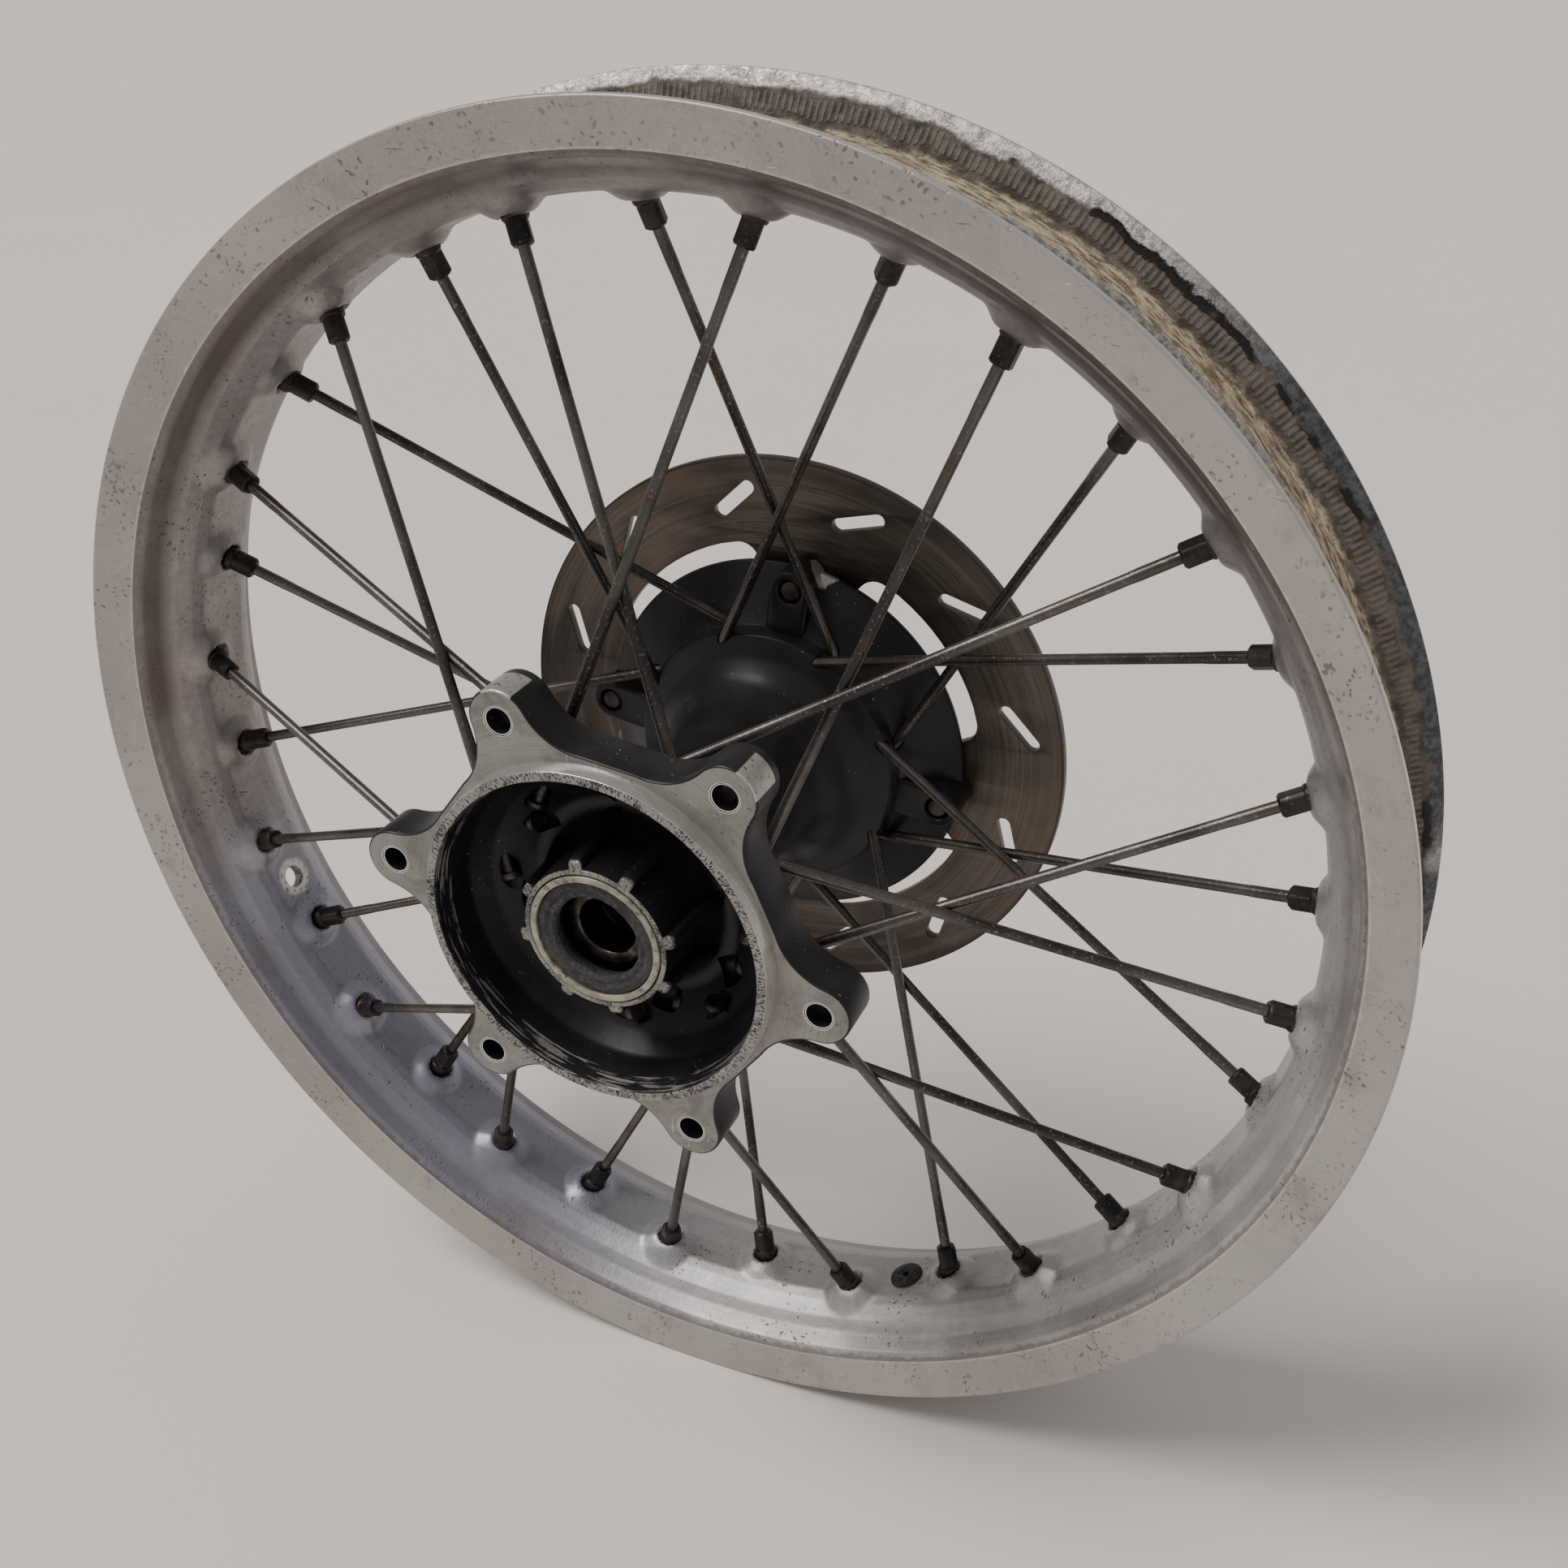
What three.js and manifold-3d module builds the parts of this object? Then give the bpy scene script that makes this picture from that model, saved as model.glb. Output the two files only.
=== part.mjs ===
// Spoked motorcycle rear wheel: rim, 32 laced spokes, hub with a six-lobed sprocket flange,
// brake disc, bearings, seals and the tube between the bearings.
// Millimetres. The axle line is Y, the sprocket side faces -Y and +Z is up.

import * as THREE from 'three';
import { mergeVertices } from 'three/addons/utils/BufferGeometryUtils.js';
import Module from 'manifold-3d';

// ---------------------------------------------------------------- driving dimensions

const RIM_RADIUS = 242.5;          // over the flanges of an 18 inch rim
const RIM_HALF_WIDTH = 35.5;
const RIM_WELL_RADIUS = 213;       // hub side of the well
const RIM_FACETS = 60;
const RIM_ARCS = 6;

const SPOKE_COUNT = 32;
const FIRST_SPOKE_ANGLE = 94;      // degrees from +X towards +Z
const SPOKE_PITCH = 360 / SPOKE_COUNT;
const PAIR_SPAN = 3;               // a spoke reaches 3 rim holes to the side of its hub pair
const CROSSING_RADIUS = 52;        // the two spokes of a pair cross here
const CROSSING_OFFSET = 3.2;       // each spoke passes this far from the other's middle plane
const DISC_SIDE = { crossingY: 44.5, rimRowY: -1, hubTurn: -0.5 };
const SPROCKET_SIDE = { crossingY: -57, rimRowY: -7.5, hubTurn: 3.5 };
const HEAD_SEAT = -14;             // along a spoke, measured from the crossing
const HEAD_RADIUS = 3.6;
const HEAD_THICKNESS = 2.4;
const SPOKE_HUB_RADIUS = 2;
const SPOKE_RADIUS = 1.8;
const NIPPLE_RADIUS = 3.9;
const NIPPLE_REACH = 13;           // nipple length on the hub side of the rim
const NIPPLE_HEAD_RADIUS = 5.2;
const NIPPLE_SEAT_RADIUS = 219.4;

const VALVE_HOLE_ANGLE = -159;
const RIM_LOCK_HOLE_ANGLE = -69;
const RIM_HOLE_RADIUS = 4.6;

const FLANGE_FACE_Y = -83.1;
const FLANGE_BACK_Y = -67;
const LOBE_COUNT = 6;
const FIRST_LOBE_ANGLE = 112.3;
const SPROCKET_BOLT_RADIUS = 76;   // half of the 152 mm bolt circle
const SPROCKET_HOLE_RADIUS = 4.3;
const LOBE_TIP_RADIUS = 10.5;
const SCALLOP_RADIUS = 63.8;
const SCALLOP_FILLET = 22;

const BEARING = { bore: 10, outer: 23.2, width: 14, pitch: 16.75, ball: 3.7, balls: 8 };
const BEARING_SEAT_RADIUS = 23.5;
const SPROCKET_BEARING_Y = -71;
const DISC_BEARING_Y = 63;
const SPROCKET_BOSS_Y = -86.2;
const DISC_BOSS_Y = 78;
const BARREL_BORE_RADIUS = 18;
const HUB_FACETS = 32;
const SPROCKET_WEB_Y = -50;        // the barrel starts here
const SPROCKET_WEB_RADIUS = 52.5;  // the dished web ends and the flange starts
const SPROCKET_BOSS_ROOT_Y = -56.6;
const SPROCKET_BOSS_RADIUS = 33;
const DISC_DISH_Y = 38;
const DISC_BOSS_ROOT_Y = 43.1;
const DISC_BOSS_RADIUS = 31;
const RIB_CENTRE_ANGLE = 81.5;
const RIB_SPREAD = 19.5;

const DISC_FACE_Y = 63.4;
const DISC_THICKNESS = 4;
const DISC_RADIUS = 110;
const DISC_WINDOW_RADIUS = 78.5;
const DISC_TAB_RADIUS = 58;
const DISC_TAB_HALF_ANGLE = 15;
const DISC_BOLT_RADIUS = 68;
const DISC_BOLT_ANGLE = 82;
const DISC_SLOT = { count: 12, firstAngle: 102.4, inner: 90.5, outer: 98.5, skew: 4, halfWidth: 2.6 };

const GAP = 0.3;                   // free space between neighbouring pieces

// ---------------------------------------------------------------- helpers

const wasm = await Module();
wasm.setup();

const radians = THREE.MathUtils.degToRad;

function onCircle(radius, degrees, y) {
  const angle = radians(degrees);
  return new THREE.Vector3(radius * Math.cos(angle), y, radius * Math.sin(angle));
}

/** Merges the shared vertices of a geometry and drops triangles without area. */
function merged(geometry) {
  const bare = geometry.clone();
  bare.deleteAttribute('normal');
  bare.deleteAttribute('uv');
  const welded = mergeVertices(bare, 1e-4);
  const kept = [];
  for (let i = 0; i < welded.index.count; i += 3) {
    const [a, b, c] = [0, 1, 2].map((k) => welded.index.getX(i + k));
    if (a !== b && b !== c && c !== a) kept.push(a, b, c);
  }
  welded.setIndex(kept);
  return welded;
}

function toSolid(geometry) {
  const closed = merged(geometry);
  const mesh = new wasm.Mesh({
    numProp: 3,
    vertProperties: new Float32Array(closed.attributes.position.array),
    triVerts: new Uint32Array(closed.index.array),
  });
  return new wasm.Manifold(mesh);
}

function toGeometry(solid) {
  const mesh = solid.getMesh();
  const geometry = new THREE.BufferGeometry();
  geometry.setAttribute('position', new THREE.BufferAttribute(mesh.vertProperties, 3));
  geometry.setIndex(new THREE.BufferAttribute(mesh.triVerts, 1));
  return geometry;
}

/** Revolves [radius, y] points about the axle line; the outline closes on itself or on the axis. */
function revolve(outline, facets) {
  const points = outline.map(([radius, y]) => new THREE.Vector2(radius, y));
  const onAxis = outline[0][0] === 0 && outline.at(-1)[0] === 0;
  if (!onAxis) points.push(points[0].clone());
  const area = THREE.ShapeUtils.area(points);
  if (area < 0) points.reverse();
  return merged(new THREE.LatheGeometry(points, facets));
}

/** Extrudes a shape drawn in X and Z from y0 to y1. */
function plate(shape, y0, y1) {
  const geometry = new THREE.ExtrudeGeometry(shape, { depth: y1 - y0, bevelEnabled: false, curveSegments: 12 });
  geometry.rotateX(Math.PI / 2);
  geometry.translate(0, y1, 0);
  return geometry;
}

function arcPoints(centreX, centreZ, radius, from, to, steps) {
  const points = [];
  for (let i = 0; i <= steps; i++) {
    const angle = from + ((to - from) * i) / steps;
    points.push(new THREE.Vector2(centreX + radius * Math.cos(angle), centreZ + radius * Math.sin(angle)));
  }
  return points;
}

function circlePath(centreX, centreZ, radius, steps) {
  const points = arcPoints(centreX, centreZ, radius, 0, 2 * Math.PI, steps);
  points.pop();
  return new THREE.Path(points);
}

/** A cylinder between two points, for cutting. */
function rod(start, end, radius, facets) {
  const along = end.clone().sub(start);
  const geometry = new THREE.CylinderGeometry(radius, radius, along.length(), facets);
  geometry.applyQuaternion(turnTo(along.clone().normalize()));
  const middle = start.clone().add(end).multiplyScalar(0.5);
  geometry.translate(middle.x, middle.y, middle.z);
  return toSolid(geometry);
}

function turnTo(direction) {
  return new THREE.Quaternion().setFromUnitVectors(new THREE.Vector3(0, 1, 0), direction);
}

const wheel = new THREE.Group();

function add(parent, name, geometry, material) {
  const mesh = new THREE.Mesh(geometry, material.clone());
  mesh.name = name;
  parent.add(mesh);
  return mesh;
}

function finish(color, roughness, metalness) {
  return new THREE.MeshStandardMaterial({ color, roughness, metalness });
}

const ALUMINIUM = finish(0xb4b0aa, 0.45, 0.9);
const BLACK_PAINT = finish(0x17171a, 0.5, 0.1);
const DISC_STEEL = finish(0x6b5f52, 0.4, 0.9);
const SPOKE_STEEL = finish(0x5f5b54, 0.5, 0.9);
const BOLT_STEEL = finish(0x4a4743, 0.5, 0.9);
const BEARING_STEEL = finish(0x8c8c8e, 0.25, 1);
const OLIVE_PLATE = finish(0x77745a, 0.5, 0.7);
const SEAL_RUBBER = finish(0x242424, 0.9, 0);
const TUBE_ALLOY = finish(0x8f8f8c, 0.5, 0.8);

// ---------------------------------------------------------------- spokes

/** The line of one spoke: which flange it leaves, where it crosses its twin, where it meets the rim. */
function spokeLine(index) {
  const side = index % 2 === 0 ? DISC_SIDE : SPROCKET_SIDE;
  const swing = index % 4 === 1 || index % 4 === 2 ? 1 : -1;
  const rimAngle = FIRST_SPOKE_ANGLE - index * SPOKE_PITCH;
  const hubAngle = rimAngle + swing * PAIR_SPAN * SPOKE_PITCH + side.hubTurn;
  const crossing = onCircle(CROSSING_RADIUS, hubAngle, side.crossingY - swing * CROSSING_OFFSET);
  const rimPoint = onCircle(RIM_WELL_RADIUS, rimAngle, side.rimRowY);
  const direction = rimPoint.clone().sub(crossing).normalize();
  const at = (distance) => crossing.clone().addScaledVector(direction, distance);
  return { direction, at, rimDistance: crossing.distanceTo(rimPoint) };
}

const spokeLines = Array.from({ length: SPOKE_COUNT }, (_, index) => spokeLine(index));

/** A spoke with its head and nipple, turned about Y with its head at y = 0. */
function spokeGeometry(line) {
  const seat = HEAD_THICKNESS;
  const rim = line.rimDistance - HEAD_SEAT + seat;
  const nippleHead = rim + NIPPLE_SEAT_RADIUS - RIM_WELL_RADIUS;
  const outline = [
    [0, 0],
    [HEAD_RADIUS, 0],
    [HEAD_RADIUS, seat],
    [SPOKE_HUB_RADIUS, seat],
    [SPOKE_RADIUS, rim - NIPPLE_REACH],
    [NIPPLE_RADIUS, rim - NIPPLE_REACH],
    [NIPPLE_RADIUS, nippleHead],
    [NIPPLE_HEAD_RADIUS, nippleHead],
    [0, nippleHead + 2.5],
  ];
  return revolve(outline, 6);
}

function addSpokes() {
  spokeLines.forEach((line, index) => {
    const name = `spoke_${String(index + 1).padStart(2, '0')}`;
    const spoke = add(wheel, name, spokeGeometry(line), SPOKE_STEEL);
    spoke.position.copy(line.at(HEAD_SEAT - HEAD_THICKNESS));
    spoke.quaternion.copy(turnTo(line.direction));
  });
}

// ---------------------------------------------------------------- rim

function rimSolid() {
  const tyreSide = [
    [217.5, 12],
    [227.6, 17.5],
    [228.6, 25.5],
    [240.5, 31.6],
    [RIM_RADIUS, 33.4],
  ];
  const hubSide = [
    [RIM_RADIUS - 0.6, RIM_HALF_WIDTH],
    [227.2, 31.2],
    [223.8, 26],
    [215, 15],
    [RIM_WELL_RADIUS, 11],
  ];
  const half = [...tyreSide, ...hubSide];
  const mirrored = half.toReversed().map(([radius, y]) => [radius, -y]);
  let rim = toSolid(revolve([...half, ...mirrored], RIM_FACETS));
  for (const line of spokeLines) {
    rim = rim.subtract(rod(line.at(line.rimDistance - 6), line.at(line.rimDistance + 14), NIPPLE_RADIUS + 0.9, 6));
  }
  for (const angle of [VALVE_HOLE_ANGLE, RIM_LOCK_HOLE_ANGLE]) {
    rim = rim.subtract(rod(onCircle(205, angle, 0), onCircle(225, angle, 0), RIM_HOLE_RADIUS, 8));
  }
  return rim;
}

/** The rim as equal arcs, each of them one simple channel. */
function addRim() {
  const rim = rimSolid();
  const sweep = (2 * Math.PI) / RIM_ARCS;
  const first = radians(FIRST_SPOKE_ANGLE + SPOKE_PITCH / 2);
  for (let arc = 0; arc < RIM_ARCS; arc++) {
    const start = first + arc * sweep;
    const wedge = new THREE.Shape([new THREE.Vector2(0, 0), ...arcPoints(0, 0, 300, start, start + sweep, 4)]);
    const piece = rim.intersect(toSolid(plate(wedge, -40, 40)));
    add(wheel, `rim_arc_${arc + 1}`, toGeometry(piece), ALUMINIUM);
  }
}

// ---------------------------------------------------------------- hub shell

/** Six lobes around the bolt holes, joined by concave scallops that meet the base circle. */
function lobedOutline() {
  const filletCentre = SCALLOP_RADIUS + SCALLOP_FILLET;
  const tipToFillet = LOBE_TIP_RADIUS + SCALLOP_FILLET;
  const squares = filletCentre ** 2 + SPROCKET_BOLT_RADIUS ** 2 - tipToFillet ** 2;
  const spread = Math.acos(squares / (2 * filletCentre * SPROCKET_BOLT_RADIUS));
  const points = [];
  for (let lobe = 0; lobe < LOBE_COUNT; lobe++) {
    const middle = radians(FIRST_LOBE_ANGLE + (lobe * 360) / LOBE_COUNT);
    const tip = [SPROCKET_BOLT_RADIUS * Math.cos(middle), SPROCKET_BOLT_RADIUS * Math.sin(middle)];
    const before = [filletCentre * Math.cos(middle - spread), filletCentre * Math.sin(middle - spread)];
    const after = [filletCentre * Math.cos(middle + spread), filletCentre * Math.sin(middle + spread)];
    const tipStart = Math.atan2(before[1] - tip[1], before[0] - tip[0]);
    let tipEnd = Math.atan2(after[1] - tip[1], after[0] - tip[0]);
    if (tipEnd < tipStart) tipEnd += 2 * Math.PI;
    const turn = middle - spread + Math.PI - (tipStart + Math.PI);
    const sweep = Math.atan2(Math.sin(turn), Math.cos(turn));
    const filletStart = middle - spread + Math.PI;
    points.push(...arcPoints(...before, SCALLOP_FILLET, filletStart, filletStart - sweep, 4));
    points.push(...arcPoints(...tip, LOBE_TIP_RADIUS, tipStart, tipEnd, 8).slice(1, -1));
    points.push(...arcPoints(...after, SCALLOP_FILLET, tipEnd + Math.PI, tipEnd + Math.PI - sweep, 4));
  }
  return points;
}

function sprocketFlange() {
  const shape = new THREE.Shape(lobedOutline());
  shape.holes.push(circlePath(0, 0, SCALLOP_RADIUS - 4.6, 36));
  for (let lobe = 0; lobe < LOBE_COUNT; lobe++) {
    const hole = onCircle(SPROCKET_BOLT_RADIUS, FIRST_LOBE_ANGLE + (lobe * 360) / LOBE_COUNT, 0);
    shape.holes.push(circlePath(hole.x, hole.z, SPROCKET_HOLE_RADIUS, 12));
  }
  return toSolid(plate(shape, FLANGE_FACE_Y, FLANGE_BACK_Y));
}

function hubBody() {
  const sprocketBowl = [
    [25.5, SPROCKET_BOSS_Y],
    [26.4, -66],
    [31, -56.5],
    [36, -56],
    [50, -68],
    [55, -73],
    [57.6, -88.6],
    [60.6, -88.6],
    [61.3, FLANGE_FACE_Y],
  ];
  const barrel = [
    [61.3, FLANGE_BACK_Y],
    [54, -64],
    [46.7, -57.5],
    [38, -46],
    [31, -28],
    [27.4, -8],
    [27.4, 6],
    [31, 24],
    [36.5, 33.5],
    [43, 38.6],
    [50.6, 41.4],
    [52.4, 46],
    [72.6, 58.6],
    [72.6, 60.6],
  ];
  const discDish = [
    [70.5, 61],
    [44.7, 50.1],
    [36, 43.5],
    [31, 43],
    [28.6, 49],
    [27, DISC_BOSS_Y],
  ];
  const bore = [
    [BEARING_SEAT_RADIUS, DISC_BOSS_Y],
    [BEARING_SEAT_RADIUS, DISC_BEARING_Y - BEARING.width / 2 - GAP],
    [BARREL_BORE_RADIUS, DISC_BEARING_Y - BEARING.width / 2 - GAP],
    [BARREL_BORE_RADIUS, SPROCKET_BEARING_Y + BEARING.width / 2 + GAP],
    [BEARING_SEAT_RADIUS, SPROCKET_BEARING_Y + BEARING.width / 2 + GAP],
    [BEARING_SEAT_RADIUS, SPROCKET_BOSS_Y],
  ];
  return toSolid(revolve([...sprocketBowl, ...barrel, ...discDish, ...bore], HUB_FACETS));
}

/** Eight draft ribs in four pairs stand on the sprocket side boss. */
function bossRibs() {
  const profile = new THREE.Shape([
    new THREE.Vector2(24.2, SPROCKET_BOSS_Y),
    new THREE.Vector2(28.6, SPROCKET_BOSS_Y),
    new THREE.Vector2(31.5, -58),
    new THREE.Vector2(24.2, -58),
  ]);
  const ribs = [];
  for (let quarter = 0; quarter < 4; quarter++) {
    for (const side of [-1, 1]) {
      const rib = new THREE.ExtrudeGeometry(profile, { depth: 4, bevelEnabled: false });
      rib.translate(0, 0, -2);
      rib.rotateY(-radians(RIB_CENTRE_ANGLE - 90 * quarter + side * RIB_SPREAD));
      ribs.push(toSolid(rib));
    }
  }
  return ribs;
}

function discBoltPoint(index, y) {
  return onCircle(DISC_BOLT_RADIUS, DISC_BOLT_ANGLE - 90 * index, y);
}

/** Long rounded bosses that carry the brake disc. */
function discBoss(index) {
  const half = 7.5;
  const inner = 55;
  const outline = [
    ...arcPoints(DISC_BOLT_RADIUS, 0, half, -Math.PI / 2, Math.PI / 2, 6),
    ...arcPoints(inner, 0, half, Math.PI / 2, (3 * Math.PI) / 2, 6),
  ];
  const boss = plate(new THREE.Shape(outline), 45, DISC_FACE_Y - GAP);
  boss.rotateY(-radians(DISC_BOLT_ANGLE - 90 * index));
  return toSolid(boss);
}

function hubSolid() {
  let hub = hubBody().add(sprocketFlange());
  for (const rib of bossRibs()) hub = hub.add(rib);
  for (let index = 0; index < 4; index++) {
    hub = hub.add(discBoss(index));
  }
  for (let index = 0; index < 4; index++) {
    hub = hub.subtract(rod(discBoltPoint(index, 30), discBoltPoint(index, 80), 4.5, 8));
  }
  for (const line of spokeLines) {
    hub = hub.subtract(rod(line.at(HEAD_SEAT - 1), line.at(10), SPOKE_HUB_RADIUS + 0.7, 6));
    hub = hub.subtract(rod(line.at(HEAD_SEAT - 7), line.at(HEAD_SEAT + GAP), HEAD_RADIUS + 1, 6));
  }
  return hub;
}

/** A solid cylinder about the axle line. */
function drum(radius, y0, y1) {
  return toSolid(revolve([[0, y0], [radius, y0], [radius, y1], [0, y1]], HUB_FACETS));
}

/** The hub casting, named part by part from the sprocket side to the disc side. */
function addHub() {
  const [sprocketEnd, rest] = hubSolid().split(drum(120, -100, SPROCKET_WEB_Y));
  const [sprocketInside, sprocketFlangeRing] = sprocketEnd.split(drum(SPROCKET_WEB_RADIUS, -100, 0));
  const [sprocketBoss, sprocketWeb] = sprocketInside.split(drum(SPROCKET_BOSS_RADIUS, -100, SPROCKET_BOSS_ROOT_Y));
  const [discEnd, barrel] = rest.split(drum(120, DISC_DISH_Y, 100));
  const [discBossTube, discDish] = discEnd.split(drum(DISC_BOSS_RADIUS, DISC_BOSS_ROOT_Y, 100));
  const parts = {
    hub_sprocket_flange: sprocketFlangeRing,
    hub_sprocket_web: sprocketWeb,
    hub_sprocket_boss: sprocketBoss,
    hub_barrel: barrel,
    hub_disc_dish: discDish,
    hub_disc_boss: discBossTube,
  };
  for (const [name, solid] of Object.entries(parts)) {
    add(wheel, name, toGeometry(solid), BLACK_PAINT);
  }
}

// ---------------------------------------------------------------- brake disc

function discGeometry() {
  const outline = new THREE.Shape(arcPoints(0, 0, DISC_RADIUS, 0, 2 * Math.PI, 60).slice(0, -1));
  const inside = [];
  for (let tab = 0; tab < 4; tab++) {
    const middle = DISC_BOLT_ANGLE + 90 * tab;
    const [tabStart, tabEnd] = [middle - DISC_TAB_HALF_ANGLE, middle + DISC_TAB_HALF_ANGLE];
    inside.push(...arcPoints(0, 0, DISC_TAB_RADIUS, radians(tabStart + 3), radians(tabEnd - 3), 4));
    inside.push(...arcPoints(0, 0, DISC_WINDOW_RADIUS, radians(tabEnd + 4), radians(tabStart + 86), 6));
  }
  outline.holes.push(new THREE.Path(inside));
  for (let bolt = 0; bolt < 4; bolt++) {
    const point = discBoltPoint(bolt, 0);
    outline.holes.push(circlePath(point.x, point.z, 4.4, 10));
  }
  for (let slot = 0; slot < DISC_SLOT.count; slot++) {
    const angle = DISC_SLOT.firstAngle - (slot * 360) / DISC_SLOT.count;
    const start = onCircle(DISC_SLOT.inner, angle + DISC_SLOT.skew, 0);
    const end = onCircle(DISC_SLOT.outer, angle - DISC_SLOT.skew, 0);
    const heading = Math.atan2(end.z - start.z, end.x - start.x);
    const quarter = Math.PI / 2;
    outline.holes.push(new THREE.Path([
      ...arcPoints(end.x, end.z, DISC_SLOT.halfWidth, heading - quarter, heading + quarter, 3),
      ...arcPoints(start.x, start.z, DISC_SLOT.halfWidth, heading + quarter, heading + 3 * quarter, 3),
    ]));
  }
  return plate(outline, DISC_FACE_Y, DISC_FACE_Y + DISC_THICKNESS);
}

function addDiscBolts() {
  const top = DISC_FACE_Y + DISC_THICKNESS + GAP;
  const outline = [
    [0, 46],
    [4, 46],
    [4, top],
    [7, top],
    [7, top + 2.5],
    [5, top + 4.4],
    [0, top + 4.4],
  ];
  for (let index = 0; index < 4; index++) {
    const bolt = add(wheel, `disc_bolt_${index + 1}`, revolve(outline, 8), BOLT_STEEL);
    bolt.position.copy(discBoltPoint(index, 0));
  }
}

// ---------------------------------------------------------------- bearings, seals and tube

const RACE_LAND = 2.65;            // from the ball circle to the straight part of each race
const GROOVE_EDGE = 3.4;
const GROOVE_FLOOR = 1.6;

function outerRace() {
  const half = BEARING.width / 2;
  const land = BEARING.pitch + RACE_LAND;
  const floor = BEARING.pitch + BEARING.ball + 0.55;
  return revolve([
    [BEARING.outer, -half],
    [BEARING.outer, half],
    [land, half],
    [land, GROOVE_EDGE],
    [floor, GROOVE_FLOOR],
    [floor, -GROOVE_FLOOR],
    [land, -GROOVE_EDGE],
    [land, -half],
  ], 20);
}

function innerRace() {
  const half = BEARING.width / 2;
  const land = BEARING.pitch - RACE_LAND;
  const floor = BEARING.pitch - BEARING.ball - 0.4;
  return revolve([
    [BEARING.bore, -half],
    [land, -half],
    [land, -GROOVE_EDGE],
    [floor, -GROOVE_FLOOR],
    [floor, GROOVE_FLOOR],
    [land, GROOVE_EDGE],
    [land, half],
    [BEARING.bore, half],
  ], 20);
}

function ballCage() {
  let cage = toSolid(revolve([[15.7, -1.2], [17.8, -1.2], [17.8, 1.2], [15.7, 1.2]], 16));
  for (let index = 0; index < BEARING.balls; index++) {
    const ball = new THREE.IcosahedronGeometry(BEARING.ball, 1);
    const centre = onCircle(BEARING.pitch, (index * 360) / BEARING.balls, 0);
    ball.translate(centre.x, centre.y, centre.z);
    cage = cage.add(toSolid(ball));
  }
  return toGeometry(cage);
}

function addBearing(side, y) {
  const bearing = new THREE.Group();
  bearing.position.y = y;
  wheel.add(bearing);
  add(bearing, `${side}_side_outer_race`, outerRace(), BEARING_STEEL);
  add(bearing, `${side}_side_inner_race`, innerRace(), BEARING_STEEL);
  add(bearing, `${side}_side_ball_cage`, ballCage(), BEARING_STEEL);
}

function addSealsAndTube() {
  const inner = SPROCKET_BEARING_Y - BEARING.width / 2 - GAP;
  const retainer = [[20.9, -86.6], [23.2, -86.6], [23.2, inner], [20.9, inner]];
  const sprocketSeal = [[14.8, -85.8], [20.6, -85.8], [20.6, inner - 0.7], [16.5, inner - 0.7], [14.8, -83]];
  const discSeal = [[14.8, 77.6], [23.2, 77.6], [23.2, 70.8], [16.5, 70.8], [14.8, 74]];
  const tubeStart = SPROCKET_BEARING_Y + BEARING.width / 2 + GAP;
  const tubeEnd = DISC_BEARING_Y - BEARING.width / 2 - GAP;
  const tube = [[10.6, tubeStart], [13.2, tubeStart], [13.2, tubeEnd], [10.6, tubeEnd]];
  add(wheel, 'bearing_retainer', revolve(retainer, 24), OLIVE_PLATE);
  add(wheel, 'sprocket_side_dust_seal', revolve(sprocketSeal, 24), SEAL_RUBBER);
  add(wheel, 'disc_side_dust_seal', revolve(discSeal, 24), SEAL_RUBBER);
  add(wheel, 'bearing_spacer_tube', revolve(tube, 20), TUBE_ALLOY);
}

// ---------------------------------------------------------------- assembly

addRim();
addHub();
add(wheel, 'brake_disc', discGeometry(), DISC_STEEL);
addDiscBolts();
addSpokes();
addBearing('sprocket', SPROCKET_BEARING_Y);
addBearing('disc', DISC_BEARING_Y);
addSealsAndTube();

export default wheel;
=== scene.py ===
"""A laced motorcycle rear wheel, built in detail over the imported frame.

Sizes are in millimetres and become metres when a mesh is made. The axle line is Y, the
sprocket side faces -Y, +Z is up, and angles run from +X towards +Z.
"""

import math

import bmesh
import bpy
import numpy as np
from mathutils import Matrix, Vector
from mathutils.geometry import tessellate_polygon


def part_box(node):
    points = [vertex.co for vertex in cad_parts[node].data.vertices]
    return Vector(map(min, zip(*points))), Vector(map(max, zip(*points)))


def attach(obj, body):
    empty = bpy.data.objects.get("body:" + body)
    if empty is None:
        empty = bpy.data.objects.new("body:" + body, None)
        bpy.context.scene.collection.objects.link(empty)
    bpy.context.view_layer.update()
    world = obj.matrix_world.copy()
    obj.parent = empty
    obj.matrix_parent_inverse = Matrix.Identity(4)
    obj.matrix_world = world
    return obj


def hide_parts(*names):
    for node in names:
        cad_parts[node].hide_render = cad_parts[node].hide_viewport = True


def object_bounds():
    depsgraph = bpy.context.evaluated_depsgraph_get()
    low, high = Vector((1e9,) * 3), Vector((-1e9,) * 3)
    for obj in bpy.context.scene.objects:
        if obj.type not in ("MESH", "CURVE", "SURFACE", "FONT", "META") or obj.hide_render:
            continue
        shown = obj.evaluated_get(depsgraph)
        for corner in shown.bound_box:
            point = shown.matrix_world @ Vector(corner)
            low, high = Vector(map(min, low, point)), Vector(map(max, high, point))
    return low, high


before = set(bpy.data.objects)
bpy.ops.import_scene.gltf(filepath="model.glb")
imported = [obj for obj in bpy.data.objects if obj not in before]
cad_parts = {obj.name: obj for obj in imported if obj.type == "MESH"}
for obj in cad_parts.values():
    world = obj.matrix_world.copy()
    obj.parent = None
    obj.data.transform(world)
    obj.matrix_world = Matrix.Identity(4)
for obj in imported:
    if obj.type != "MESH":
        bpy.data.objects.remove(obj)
cad_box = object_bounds()

MM = 0.001


def nodes_named(start):
    """The CAD nodes whose names start this way."""
    return sorted(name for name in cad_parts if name.startswith(start))


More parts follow.
